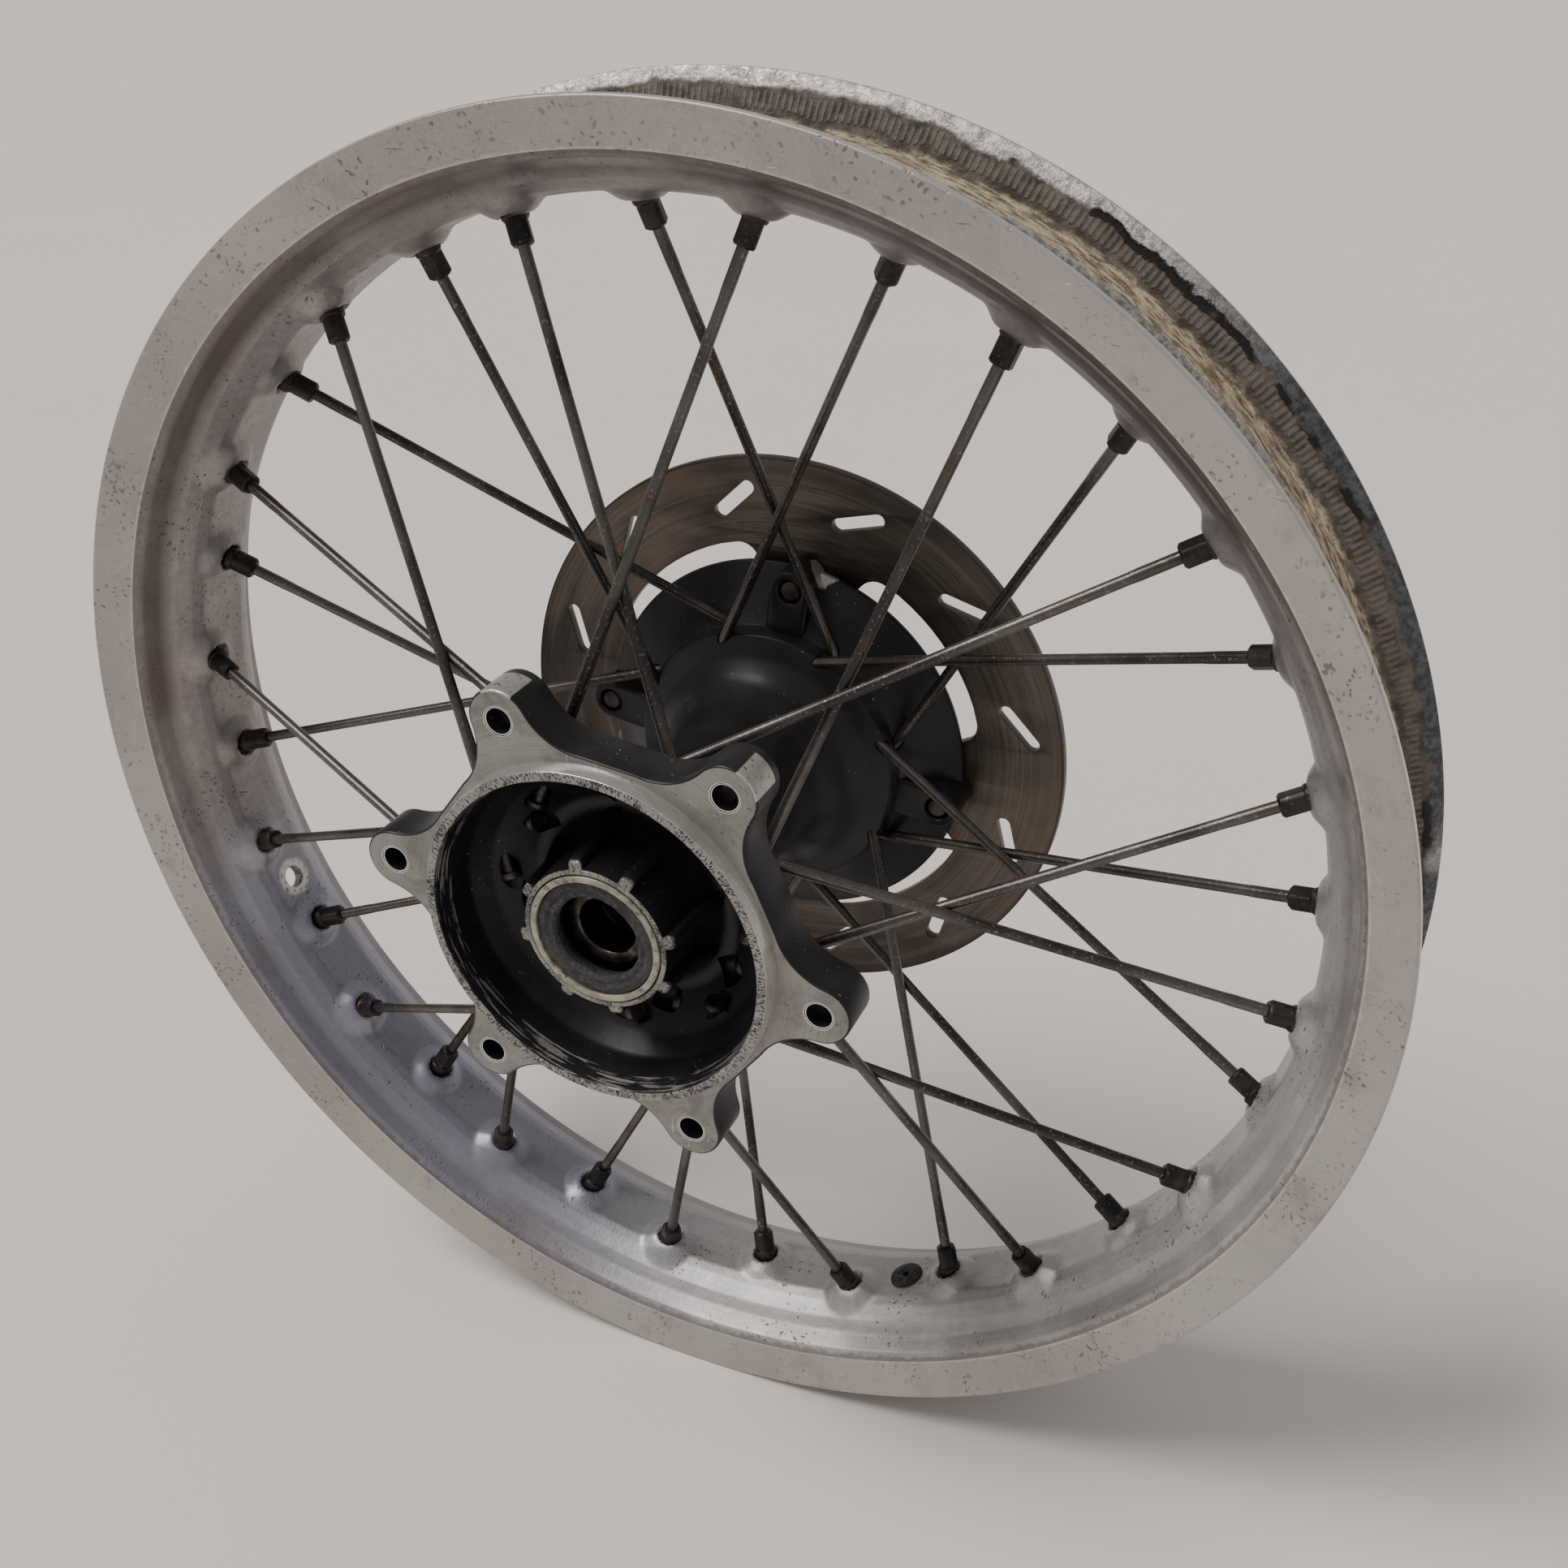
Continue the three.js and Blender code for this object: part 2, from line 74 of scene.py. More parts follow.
def node_box(node):
    """A CAD node's lowest and highest corner, in millimetres."""
    low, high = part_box(node)
    return low / MM, high / MM


# ---------------------------------------------------------------- driving dimensions

RIM_RADIUS = cad_box[1].x / MM
RIM_HALF_WIDTH = max(node_box(name)[1].y for name in nodes_named("rim_arc"))
RIM_WELL_RADIUS = 213
SHELL_THICKNESS = 4.5

SPOKE_COUNT = 32
FIRST_SPOKE_ANGLE = 94
SPOKE_PITCH = 360 / SPOKE_COUNT
PAIR_SPAN = 3
CROSSING_RADIUS = 52
CROSSING_OFFSET = 3.2
DISC_SIDE = {"crossing_y": 44.5, "rim_row_y": -1, "hub_turn": -0.5}
SPROCKET_SIDE = {"crossing_y": -57, "rim_row_y": -7.5, "hub_turn": 3.5}
HEAD_SEAT = -14
NIPPLE_REACH = 13
NIPPLE_TURN = 0.61
DIMPLE_RADIUS = 12.5
DIMPLE_TOP = 5.2
DIMPLE_HEIGHT = 3.7
CRATER_RADIUS = 4.6

VALVE_HOLE_ANGLE = -159
RIM_LOCK_HOLE_ANGLE = -69
RIM_HOLE_RADIUS = 4.6
BEAD_RADIUS = 228
KNURL_COUNT = 680

FLANGE_FACE_Y = -83.1
FLANGE_BACK_Y = -67
LOBE_COUNT = 6
FIRST_LOBE_ANGLE = 112.3
SPROCKET_BOLT_RADIUS = 76
SPROCKET_HOLE_RADIUS = 4.3
LOBE_TIP_RADIUS = 10.5
SCALLOP_RADIUS = 63.8
SCALLOP_FILLET = 22

BEARING = {"bore": 10, "outer": 23.2, "half": 7, "pitch": 16.75, "ball": 3.7, "balls": 8}
RACE_LAND = 2.65
BEARING_Y = {"sprocket": -71, "disc": 63}
SPROCKET_BOSS_Y = -86.2
DISC_BOSS_Y = 78
RIB_CENTRE_ANGLE = 81.5
RIB_SPREAD = 19.5

DISC_LOW, DISC_HIGH = node_box("brake_disc")
DISC_RADIUS = DISC_HIGH.x
DISC_FACE_Y = DISC_LOW.y
DISC_BACK_Y = DISC_HIGH.y
DISC_WINDOW_RADIUS = 78.5
DISC_TAB_RADIUS = 58
DISC_BOLT_COUNT = 4
DISC_BOLT_RADIUS = 68
DISC_THREAD_RADIUS = 4.4
DISC_HOLE_RADIUS = 4.3
DISC_BOLT_ANGLE = 82
DISC_SLOT = {"count": 12, "first": 102.4, "inner": 90.5, "outer": 98.5, "skew": 4, "half": 2.6}

FLOOR_Z = cad_box[0].z
FLOOR_SIZE = 20000
SUN_FROM = (-0.55, -0.35, 1.0)
SUN_STRENGTH = 2.2
SUN_ANGLE = 28
WORLD_STRENGTH = 0.54
CAMERA_FROM = (0.2373, -0.4561, 0.3033)
CAMERA_TO = (0.0512, 0.0, 0.0255)
CAMERA_LENS = 38.37
CAMERA_SHIFT = (-0.0412, -0.0058)


# ---------------------------------------------------------------- places and outlines


def on_circle(radius, degrees, y=0.0):
    angle = math.radians(degrees)
    return Vector((radius * math.cos(angle), y, radius * math.sin(angle)))


def full_turn(count):
    """Evenly spaced angles of one whole turn, in radians."""
    return np.linspace(0, 2 * math.pi, count + 1)[:-1]


def rounded(corners, closed=True):
    """Turns (a, b, fillet, zone) corners into (a, b, zone) points with each corner rounded.

    A corner may leave out its zone, which is then 0.
    """
    corners = [(*corner, 0)[:4] for corner in corners]
    points = []
    for i, (a, b, fillet, zone) in enumerate(corners):
        at_end = not closed and i in (0, len(corners) - 1)
        if not fillet or at_end:
            points.append((a, b, zone))
            continue
        here = Vector((a, b))
        before = Vector(corners[i - 1][:2]) - here
        after = Vector(corners[(i + 1) % len(corners)][:2]) - here
        half = before.angle(after) / 2
        reach = min(fillet / math.tan(half), 0.48 * before.length, 0.48 * after.length)
        radius = reach * math.tan(half)
        bisector = (before.normalized() + after.normalized()).normalized()
        centre = here + bisector * (radius / math.sin(half))
        start = here + before.normalized() * reach - centre
        end = here + after.normalized() * reach - centre
        sweep = math.atan2(start.x * end.y - start.y * end.x, start.dot(end))
        steps = max(2, math.ceil(abs(sweep) / 0.25))
        for k in range(steps + 1):
            turned = Matrix.Rotation(sweep * k / steps, 2) @ start + centre
            points.append((turned.x, turned.y, zone if 2 * k > steps else corners[i - 1][3]))
        points[-1] = (*points[-1][:2], zone)
    return points


def stepped(points, step):
    """Splits the long stretches of a closed outline."""
    out = []
    for (a, b, zone), (c, d, _) in zip(points, points[1:] + points[:1]):
        parts = max(1, math.ceil(math.hypot(c - a, d - b) / step))
        out += [(a + (c - a) * k / parts, b + (d - b) * k / parts, zone) for k in range(parts)]
    return out


def arc(centre_x, centre_z, radius, start, end, steps):
    """Points on an arc, in the XZ plane, angles in radians."""
    turns = [start + (end - start) * k / steps for k in range(steps + 1)]
    return [(centre_x + radius * math.cos(t), centre_z + radius * math.sin(t)) for t in turns]


def circle(centre_x, centre_z, radius, steps=40):
    return arc(centre_x, centre_z, radius, 0, 2 * math.pi, steps)[:-1]


# ---------------------------------------------------------------- meshes


def sweep_round(points, angles=None, shape=None, closed=True):
    """Sweeps (radius, y, zone) points round the Y axis: returns vertices, faces and zones."""
    if angles is None:
        angles = full_turn(128)
    rows, turns = len(points), len(angles)
    radius, turn = np.meshgrid([p[0] for p in points], angles)
    y = np.tile([float(p[1]) for p in points], (turns, 1))
    if shape:
        radius, y = shape(radius, y, turn)
    places = np.stack([radius * np.cos(turn), y, radius * np.sin(turn)], -1).reshape(-1, 3)
    last = rows if closed else rows - 1
    faces, zones = [], []
    for i in range(turns):
        here, there = i * rows, (i + 1) % turns * rows
        for j in range(last):
            k = (j + 1) % rows
            faces.append((here + j, here + k, there + k, there + j))
            zones.append(points[j][2])
    return places, faces, zones


def turned(outline, sides, shape=None):
    """A solid turned from (radius, y, fillet) corners that start and end on the axis."""
    return sweep_round(rounded(outline, False), full_turn(sides), shape, closed=False)


def rod(radius, start, end, sides):
    """A plain cylinder along the Y axis."""
    return turned([(0, start, 0), (radius, start, 0), (radius, end, 0), (0, end, 0)], sides)


def plate(outlines, y0, y1, bevel=0.4, zones=(0, 0, 0), steps=3):
    """A flat piece: the first outline is its edge and the others are holes, in the XZ plane.

    zones are those of the y0 face, the edges and the y1 face.
    """
    loops = []
    for index, outline in enumerate(outlines):
        area = sum(a * d - c * b for (a, b), (c, d) in zip(outline, outline[1:] + outline[:1]))
        loops.append(outline if (area > 0) == (index == 0) else outline[::-1])
    bends = np.linspace(0, math.pi / 2, steps)
    rings = [(bevel * (1 - math.sin(t)), y0 + bevel * (1 - math.cos(t))) for t in bends]
    rings += [(inset, y1 - (y - y0)) for inset, y in reversed(rings)]
    places, faces, out_zones, caps = [], [], [], ([], [])
    for loop in loops:
        flat = np.array(loop)
        along = np.roll(flat, -1, 0) - np.roll(flat, 1, 0)
        inward = np.stack([-along[:, 1], along[:, 0]], 1) / np.linalg.norm(along, axis=1)[:, None]
        count = len(loop)
        for number, (inset, y) in enumerate(rings):
            start = len(places)
            moved = flat + inward * inset
            places += [(x, y, z) for x, z in moved]
            if number == 0:
                caps[0].append(range(start, start + count))
            if number == len(rings) - 1:
                caps[1].append(range(start, start + count))
            if number:
                for k in range(count):
                    n = (k + 1) % count
                    faces.append((start + k, start - count + k, start - count + n, start + n))
                    out_zones.append(zones[1])
    for cap, zone in zip(caps, (zones[0], zones[2])):
        flat_index = [index for loop in cap for index in loop]
        polygons = [[Vector((places[i][0], places[i][2], 0)) for i in loop] for loop in cap]
        for triangle in tessellate_polygon(polygons):
            faces.append(tuple(flat_index[i] for i in triangle))
            out_zones.append(zone)
    return np.array(places), faces, out_zones


def moved(part, matrix):
    places, faces, zones = part
    turn = np.array(matrix.to_3x3())
    return places @ turn.T + np.array(matrix.translation), faces, zones


def along(start, direction, spin=0.0):
    """Carries the Y axis to a place and direction, with a turn about it."""
    turn = Vector((0, 1, 0)).rotation_difference(direction).to_matrix().to_4x4()
    return Matrix.Translation(start) @ turn @ Matrix.Rotation(spin, 4, "Y")


def mesh_object(name, parts, finishes):
    """Joins parts into one object, in metres, with its normals outwards."""
    places, faces, zones = [], [], []
    for part_places, part_faces, part_zones in parts:
        start = len(places)
        places += (part_places * MM).tolist()
        faces += [tuple(start + i for i in face) for face in part_faces]
        zones += part_zones
    mesh = bpy.data.meshes.new(name)
    mesh.from_pydata(places, [], faces)
    mesh.polygons.foreach_set("material_index", np.array(zones, np.int32))
    for finish in finishes:
        mesh.materials.append(finish)
    work = bmesh.new()
    work.from_mesh(mesh)
    bmesh.ops.remove_doubles(work, verts=work.verts, dist=1e-7)
    bmesh.ops.recalc_face_normals(work, faces=work.faces)
    work.to_mesh(mesh)
    work.free()
    made = bpy.data.objects.new(name, mesh)
    bpy.context.scene.collection.objects.link(made)
    return made


def carve(piece, cutter_parts, finish):
    """Cuts solids out of a piece, and gives the cut faces a finish."""
    cutter = mesh_object("cutter", cutter_parts, [finish])
    cut = piece.modifiers.new("cut", "BOOLEAN")
    cut.object = cutter
    cut.operation = "DIFFERENCE"
    cut.solver = "EXACT"
    cut.material_mode = "TRANSFER"
    graph = bpy.context.evaluated_depsgraph_get()
    mesh = bpy.data.meshes.new_from_object(piece.evaluated_get(graph))
    piece.modifiers.clear()
    piece.data = mesh
    bpy.data.objects.remove(cutter)


def place(piece, body, nodes, crease=32):
    """Shades a piece, and sets what it rides on and stands for."""
    piece.data.shade_smooth()
    piece.data.set_sharp_from_angle(angle=math.radians(crease))
    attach(piece, body)
    if nodes:
        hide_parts(*nodes)
    return piece


def add_piece(name, parts, finishes, body, nodes, crease=32):
    """Makes and places a piece that needs no carving."""
    return place(mesh_object(name, parts, finishes), body, nodes, crease)


# ---------------------------------------------------------------- finishes


class Finish:
    """A procedural material on one Principled shader, in object coordinates."""

    def __init__(self, name, **sockets):
        self.material = bpy.data.materials.new(name)
        self.material.use_nodes = True
        self.tree = self.material.node_tree
        self.shader = self.tree.nodes["Principled BSDF"]
        for socket, value in sockets.items():
            self.shader.inputs[socket.replace("_", " ")].default_value = value
        self.place = self.new("ShaderNodeTexCoord").outputs["Object"]

    def new(self, kind, **properties):
        node = self.tree.nodes.new(kind)
        for key, value in properties.items():
            setattr(node, key, value)
        return node

    def feed(self, socket, value):
        if isinstance(value, bpy.types.NodeSocket):
            self.tree.links.new(value, socket)
        else:
            socket.default_value = value

    def math(self, operation, a, b=0.0):
        node = self.new("ShaderNodeMath", operation=operation)
        self.feed(node.inputs[0], a)
        self.feed(node.inputs[1], b)
        return node.outputs[0]

    def times(self, a, b):
        return self.math("MULTIPLY", a, b)

    def plus(self, a, b):
        return self.math("ADD", a, b)

    def minus(self, a, b):
        return self.math("SUBTRACT", a, b)

    def sway(self, value, reach):
        """Moves a value that runs from 0 to 1 so that it swings about 0 by half the reach."""
        return self.times(self.minus(value, 0.5), reach)

    def vector(self, operation, a, b=(0, 0, 0)):
        node = self.new("ShaderNodeVectorMath", operation=operation)
        self.feed(node.inputs[0], a)
        self.feed(node.inputs[1], b)
        is_number = operation in ("LENGTH", "DOT_PRODUCT", "DISTANCE")
        return node.outputs["Value" if is_number else "Vector"]

    def parts(self, vector):
        node = self.new("ShaderNodeSeparateXYZ")
        self.feed(node.inputs[0], vector)
        return node.outputs

    def noise(self, scale, detail=4.0, roughness=0.55, at=None, distortion=0.0):
        node = self.new("ShaderNodeTexNoise")
        self.feed(node.inputs["Vector"], self.place if at is None else at)
        node.inputs["Scale"].default_value = scale
        node.inputs["Detail"].default_value = detail
        node.inputs["Roughness"].default_value = roughness
        node.inputs["Distortion"].default_value = distortion
        return node.outputs["Fac"]

    def cells(self, scale, at=None):
        node = self.new("ShaderNodeTexVoronoi")
        self.feed(node.inputs["Vector"], self.place if at is None else at)
        node.inputs["Scale"].default_value = scale
        return node.outputs["Distance"]

    def bent(self, reach):
        """The object coordinates pushed about by noise, to make round cells ragged."""
        node = self.new("ShaderNodeTexNoise")
        self.feed(node.inputs["Vector"], self.place)
        node.inputs["Scale"].default_value = 180
        push = self.vector("SUBTRACT", node.outputs["Color"], (0.5, 0.5, 0.5))
        return self.vector("ADD", self.place, self.vector("MULTIPLY", push, (reach, reach, reach)))

    def scratches(self, stretch, patches, share):
        """Thin marks, long where the stretch is small, in patches."""
        stretched = self.vector("MULTIPLY", self.place, stretch)
        lines = self.step(self.noise(1, 2, at=stretched), share, share + 0.03)
        return self.both(lines, self.step(self.noise(patches, 3), 0.48, 0.60))

    def step(self, value, low, high):
        """0 below low and 1 above high, or the other way round when low is the larger."""
        node = self.new("ShaderNodeMapRange", interpolation_type="SMOOTHSTEP")
        self.feed(node.inputs["Value"], value)
        node.inputs["From Min"].default_value = min(low, high)
        node.inputs["From Max"].default_value = max(low, high)
        node.inputs["To Min"].default_value = 0.0 if low < high else 1.0
        node.inputs["To Max"].default_value = 1.0 if low < high else 0.0
        return node.outputs["Result"]

    def patch(self, low, high, *noise):
        """Soft patches: a noise texture cut between two of its levels."""
        return self.step(self.noise(*noise), low, high)

    def both(self, *masks):
        result = masks[0]
        for mask in masks[1:]:
            result = self.times(result, mask)
        return result

    def either(self, a, b):
        return self.math("MAXIMUM", a, b)

    def mix(self, share, a, b):
        node = self.new("ShaderNodeMix", data_type="RGBA")
        self.feed(node.inputs[0], share)
        for socket, value in ((node.inputs[6], a), (node.inputs[7], b)):
            self.feed(socket, value if isinstance(value, bpy.types.NodeSocket) else (*value, 1.0))
        return node.outputs[2]

    def tint(self, colour, mask, strength, hue):
        """Colours a finish towards a hue where the mask is 1, by a strength from 0 to 1."""
        return self.mix(self.times(mask, strength), colour, hue)

    def blend(self, share, a, b):
        node = self.new("ShaderNodeMix", data_type="FLOAT")
        self.feed(node.inputs[0], share)
        self.feed(node.inputs[2], a)
        self.feed(node.inputs[3], b)
        return node.outputs[0]

    def axle_radius(self):
        return self.vector("LENGTH", self.vector("MULTIPLY", self.place, (1, 0, 1)))

    def round_axle(self, length, width):
        """Coordinates in which a feature is long round the axle and narrow across it."""
        flat = self.vector("MULTIPLY", self.place, (1, 0, 1))
        heading = self.vector("MULTIPLY", self.vector("NORMALIZE", flat), (1 / length,) * 3)
        y = self.parts(self.place)[1]
        across = self.plus(self.vector("LENGTH", flat), self.times(y, 1.37))
        node = self.new("ShaderNodeCombineXYZ")
        self.feed(node.inputs[1], self.times(across, 1 / width))
        return self.vector("ADD", heading, node.outputs[0])

    def box(self, centre, axes, halves, soft):
        """1 inside a box given by its centre, axes and half lengths in millimetres."""
        offset = self.vector("SUBTRACT", self.place, tuple(centre * MM))
        masks = []
        for axis, half in zip(axes, halves):
            reach = self.math("ABSOLUTE", self.vector("DOT_PRODUCT", offset, tuple(axis)))
            masks.append(self.step(reach, (half + soft) * MM, (half - soft) * MM))
        return self.both(*masks)

    def done(self, colour, roughness=None, metallic=None, relief=None, depth=0.1):
        """Links the finish: relief is a height from 0 to 1, and depth its size in millimetres."""
        self.feed(self.shader.inputs["Base Color"], colour)
        if roughness is not None:
            self.feed(self.shader.inputs["Roughness"], roughness)
        if metallic is not None:
            self.feed(self.shader.inputs["Metallic"], metallic)
        if relief is not None:
            bump = self.new("ShaderNodeBump")
            bump.inputs["Strength"].default_value = 1.0
            bump.inputs["Distance"].default_value = depth * MM
            self.feed(bump.inputs["Height"], relief)
            self.tree.links.new(bump.outputs["Normal"], self.shader.inputs["Normal"])
        return self.material


def rim_face_finish():
    """Pale matt aluminium of the flange sides, pitted and scratched, lighter on worn edges, with a
    painted highlight along the outer lip.
    """
    f = Finish("rim_face", Metallic=0.7)
    radius = f.axle_radius()
    tone = f.mix(f.patch(0.35, 0.65, 9, 5), (0.46, 0.43, 0.41), (0.345, 0.32, 0.305))
    fine = f.patch(0.3, 0.7, 1100, 2)
    colour = f.tint(tone, fine, 0.22, (0.56, 0.53, 0.51))
    blush = f.patch(0.52, 0.72, 30, 6, 0.7)
    colour = f.tint(colour, blush, 0.5, (0.25, 0.225, 0.21))
    dots = f.step(f.cells(380, f.bent(0.006)), 0.30, 0.14)
    flecks = f.both(dots, f.patch(0.42, 0.62, 34, 5, 0.7))
    dents = f.both(f.step(f.cells(120, f.bent(0.02)), 0.17, 0.11), f.patch(0.50, 0.60, 17, 3))
    scars = f.either(f.scratches((110, 60, 1500), 19, 0.68), f.scratches((1300, 60, 150), 31, 0.69))
    marks = f.either(f.either(flecks, dents), scars)
    colour = f.tint(colour, marks, 0.62, (0.095, 0.082, 0.076))
    shine = f.scratches((130, 60, 1100), 43, 0.69)
    # Both edges are painted lighter: along the outer lip this is a painted highlight as well as
    # wear, and the inner step edge gets a ragged lighter line.
    edge = f.plus(radius, f.sway(f.noise(260, 4), 0.0022))
    rub_and_highlight = f.either(f.step(radius, 0.2419, 0.2423), f.times(f.step(edge, 0.2284, 0.2276), 0.5))
    bright = f.either(shine, rub_and_highlight)
    colour = f.tint(colour, bright, 0.6, (0.74, 0.715, 0.69))
    rough = f.blend(rub_and_highlight, f.blend(f.noise(140, 4), 0.42, 0.60), 0.28)
    height = f.minus(f.times(f.noise(700, 3), 0.3), marks)
    return f.done(colour, rough, relief=height, depth=0.14)


def rim_well_finish():
    """Matt aluminium on the hub side: painted brown shade at the upper left, a painted bluish
    reflection at the lower left.
    """
    f = Finish("rim_well", Metallic=0.78)
    x, y, z = f.parts(f.place)
    out = f.math("ABSOLUTE", y)
    rings = f.noise(1, 3, at=f.round_axle(0.08, 0.0009))
    tone = f.mix(f.step(rings, 0.3, 0.7), (0.46, 0.455, 0.46), (0.54, 0.53, 0.525))
    # low is the lower left of the well, and left is its left and top outside low; both are fixed on
    # the wheel and turn with it.
    low = f.both(f.step(z, -0.01, -0.10), f.step(x, 0.02, -0.10))
    left = f.both(f.either(f.step(x, -0.02, -0.20), f.step(z, 0.00, 0.14)), f.step(low, 1, 0))
    cloud = f.patch(0.25, 0.80, 18, 5, 0.6)
    # Painted shade in brown at the left and top, and a painted bluish reflection at the lower left.
    tone = f.tint(tone, left, 0.6, (0.27, 0.24, 0.225))
    tone = f.tint(tone, low, 0.75, (0.25, 0.27, 0.36))
    # Brown cloud and mottle patches all over, much stronger at the left and top, where they deepen
    # the painted shade.
    colour = f.mix(f.times(cloud, f.blend(left, 0.35, 0.6)), tone, (0.215, 0.19, 0.178))
    mottle = f.patch(0.42, 0.66, 300, 5, 0.75)
    colour = f.mix(f.times(mottle, f.blend(left, 0.15, 0.35)), colour, (0.17, 0.148, 0.138))
    # Painted shade in the concave groove beside the flange step, in patches, strongest at the left
    # and top.
    band = f.both(f.step(out, 0.0190, 0.0235), f.step(out, 0.0315, 0.0295))
    groove = f.both(band, f.patch(0.30, 0.62, 13, 4))
    colour = f.mix(f.times(groove, f.blend(left, 0.35, 0.85)), colour, (0.135, 0.105, 0.098))
    specks = f.both(f.step(f.cells(380, f.bent(0.008)), 0.26, 0.12), f.patch(0.47, 0.60, 42, 4))
    colour = f.tint(colour, specks, 0.75, (0.10, 0.085, 0.075))
    edge = f.plus(f.axle_radius(), f.sway(f.noise(320, 4), 0.0030))
    colour = f.mix(f.times(f.step(edge, 0.2256, 0.2268), 0.6), colour, (0.15, 0.125, 0.11))
    # A pale ring round the valve hole: worn metal, also painted as a highlight.
    valve = f.vector("DISTANCE", f.place, tuple(on_circle(RIM_WELL_RADIUS, VALVE_HOLE_ANGLE) * MM))
    bare = f.both(f.step(valve, 0.0088, 0.0066), f.patch(0.35, 0.50, 420, 3))
    colour = f.mix(bare, colour, (0.72, 0.70, 0.67))
    rough = f.blend(f.noise(55, 5), 0.36, 0.56)
    height = f.plus(f.times(f.noise(150, 5), 0.8), f.times(f.noise(700, 3), 0.4))
    return f.done(colour, rough, relief=f.minus(height, specks), depth=0.16)


def rim_channel_finish():
    """The corroded tyre side: tan channel, knurled brown bead seats and scabbed flanges."""
    f = Finish("rim_channel")
    x, y, z = f.parts(f.place)
    climb = f.times(f.minus(f.axle_radius(), BEAD_RADIUS * MM), 0.6)
    level = f.plus(f.math("ABSOLUTE", y), climb)
    wander = f.minus(f.noise(60, 6, 0.7), 0.5)
    ragged = f.plus(level, f.times(wander, 0.009))
    # right is the right side of the rim, painted darker: its flanges turn to dark slate blue-grey
    # in patches as painted shade, with more black scabs and less metal.
    right = f.step(x, 0.11, 0.185)
    crust = f.noise(1, 6, 0.7, at=f.round_axle(0.03, 0.0022))
    grain = f.patch(0.38, 0.62, 420, 5, 0.7)
    mould = f.mix(grain, (0.13, 0.14, 0.145), (0.36, 0.37, 0.37))
    tan = f.mix(f.step(crust, 0.40, 0.60), (0.15, 0.12, 0.085), (0.62, 0.52, 0.37))
    brown = f.mix(f.patch(0.35, 0.65, 180, 5), (0.060, 0.050, 0.042), (0.17, 0.145, 0.12))
    silver = f.mix(f.patch(0.36, 0.62, 260, 6, 0.75), (0.34, 0.33, 0.32), (0.86, 0.84, 0.82))
    slate = f.mix(grain, (0.040, 0.043, 0.048), (0.115, 0.120, 0.130))
    silver = f.mix(f.times(right, f.patch(0.30, 0.50, 22, 5)), silver, slate)
    colour = f.mix(f.step(ragged, 0.0150, 0.0190), mould, tan)
    colour = f.mix(f.step(ragged, 0.0262, 0.0285), colour, brown)
    flange = f.step(ragged, 0.0355, 0.0375)
    colour = f.mix(flange, colour, silver)
    lines = f.both(f.step(ragged, 0.0293, 0.0303), f.step(ragged, 0.0352, 0.0342))
    turn = f.times(f.math("ARCTAN2", z, x), KNURL_COUNT)
    knurl = f.both(f.step(f.math("SINE", turn), -0.5, 0.3), lines, f.patch(0.32, 0.46, 45, 4))
    colour = f.tint(colour, knurl, 0.6, (0.22, 0.195, 0.165))
    patches = f.step(f.plus(f.noise(26, 4), f.times(right, 0.10)), 0.55, 0.59)
    scab = f.both(f.step(ragged, 0.0346, 0.0352), f.step(ragged, 0.0378, 0.0370), patches)
    colour = f.mix(scab, colour, (0.010, 0.010, 0.010))
    metal = f.blend(flange, 0.15, f.blend(right, 0.75, 0.3))
    height = f.plus(knurl, f.plus(f.times(crust, 0.5), f.times(grain, 0.3)))
    rough = f.blend(flange, f.blend(f.noise(110, 4), 0.55, 0.85), 0.36)
    return f.done(colour, rough, metal, f.plus(height, scab), 0.5)


def paint_colours(f):
    """Black paint with dust specks: returns its colour and roughness."""
    base = f.mix(f.patch(0.35, 0.65, 35, 5), (0.0075, 0.0080, 0.0105), (0.0140, 0.0146, 0.0182))
    dust = f.both(f.step(f.cells(420, f.bent(0.006)), 0.12, 0.05), f.patch(0.50, 0.62, 45, 3))
    haze = f.times(f.patch(0.50, 0.80, 24, 6, 0.7), 0.30)
    colour = f.mix(haze, base, (0.040, 0.039, 0.040))
    colour = f.mix(dust, colour, (0.34, 0.33, 0.31))
    return colour, f.blend(f.noise(80, 5), 0.30, 0.46)


def hub_paint_finish():
    """Satin black paint, worn through to metal on the tips of the two upper lobes."""
    f = Finish("hub_paint", Specular_IOR_Level=0.35)
    colour, rough = paint_colours(f)
    bare = None
    for angle in (FIRST_LOBE_ANGLE - 22, FIRST_LOBE_ANGLE - 60 - 16):
        lobe = FIRST_LOBE_ANGLE if angle > 80 else FIRST_LOBE_ANGLE - 60
        centre = on_circle(SPROCKET_BOLT_RADIUS, lobe, FLANGE_FACE_Y + 6)
        centre += on_circle(LOBE_TIP_RADIUS, angle)
        axes = (on_circle(1, angle), on_circle(1, angle + 90), Vector((0, 1, 0)))
        patch = f.box(centre, axes, (3.0, 5.2, 6.5), 0.25)
        bare = patch if bare is None else f.either(bare, patch)
    edge = on_circle(72.6, DISC_BOLT_ANGLE - 5.5, 59.5)
    patch = f.vector("DISTANCE", f.place, tuple(edge * MM))
    ragged = f.plus(patch, f.times(f.noise(240, 4), 0.006))
    bare = f.either(bare, f.step(ragged, 0.0088, 0.0080))
    bare = f.both(bare, f.patch(0.25, 0.42, 600, 3))
    metal = f.mix(f.noise(300, 3), (0.42, 0.405, 0.38), (0.60, 0.58, 0.55))
    colour = f.mix(bare, colour, metal)
    height = f.plus(f.times(f.noise(260, 4), 0.6), f.times(f.noise(30, 3), 1.6))
    return f.done(colour, f.blend(bare, rough, 0.42), f.times(bare, 0.8), height, 0.10)


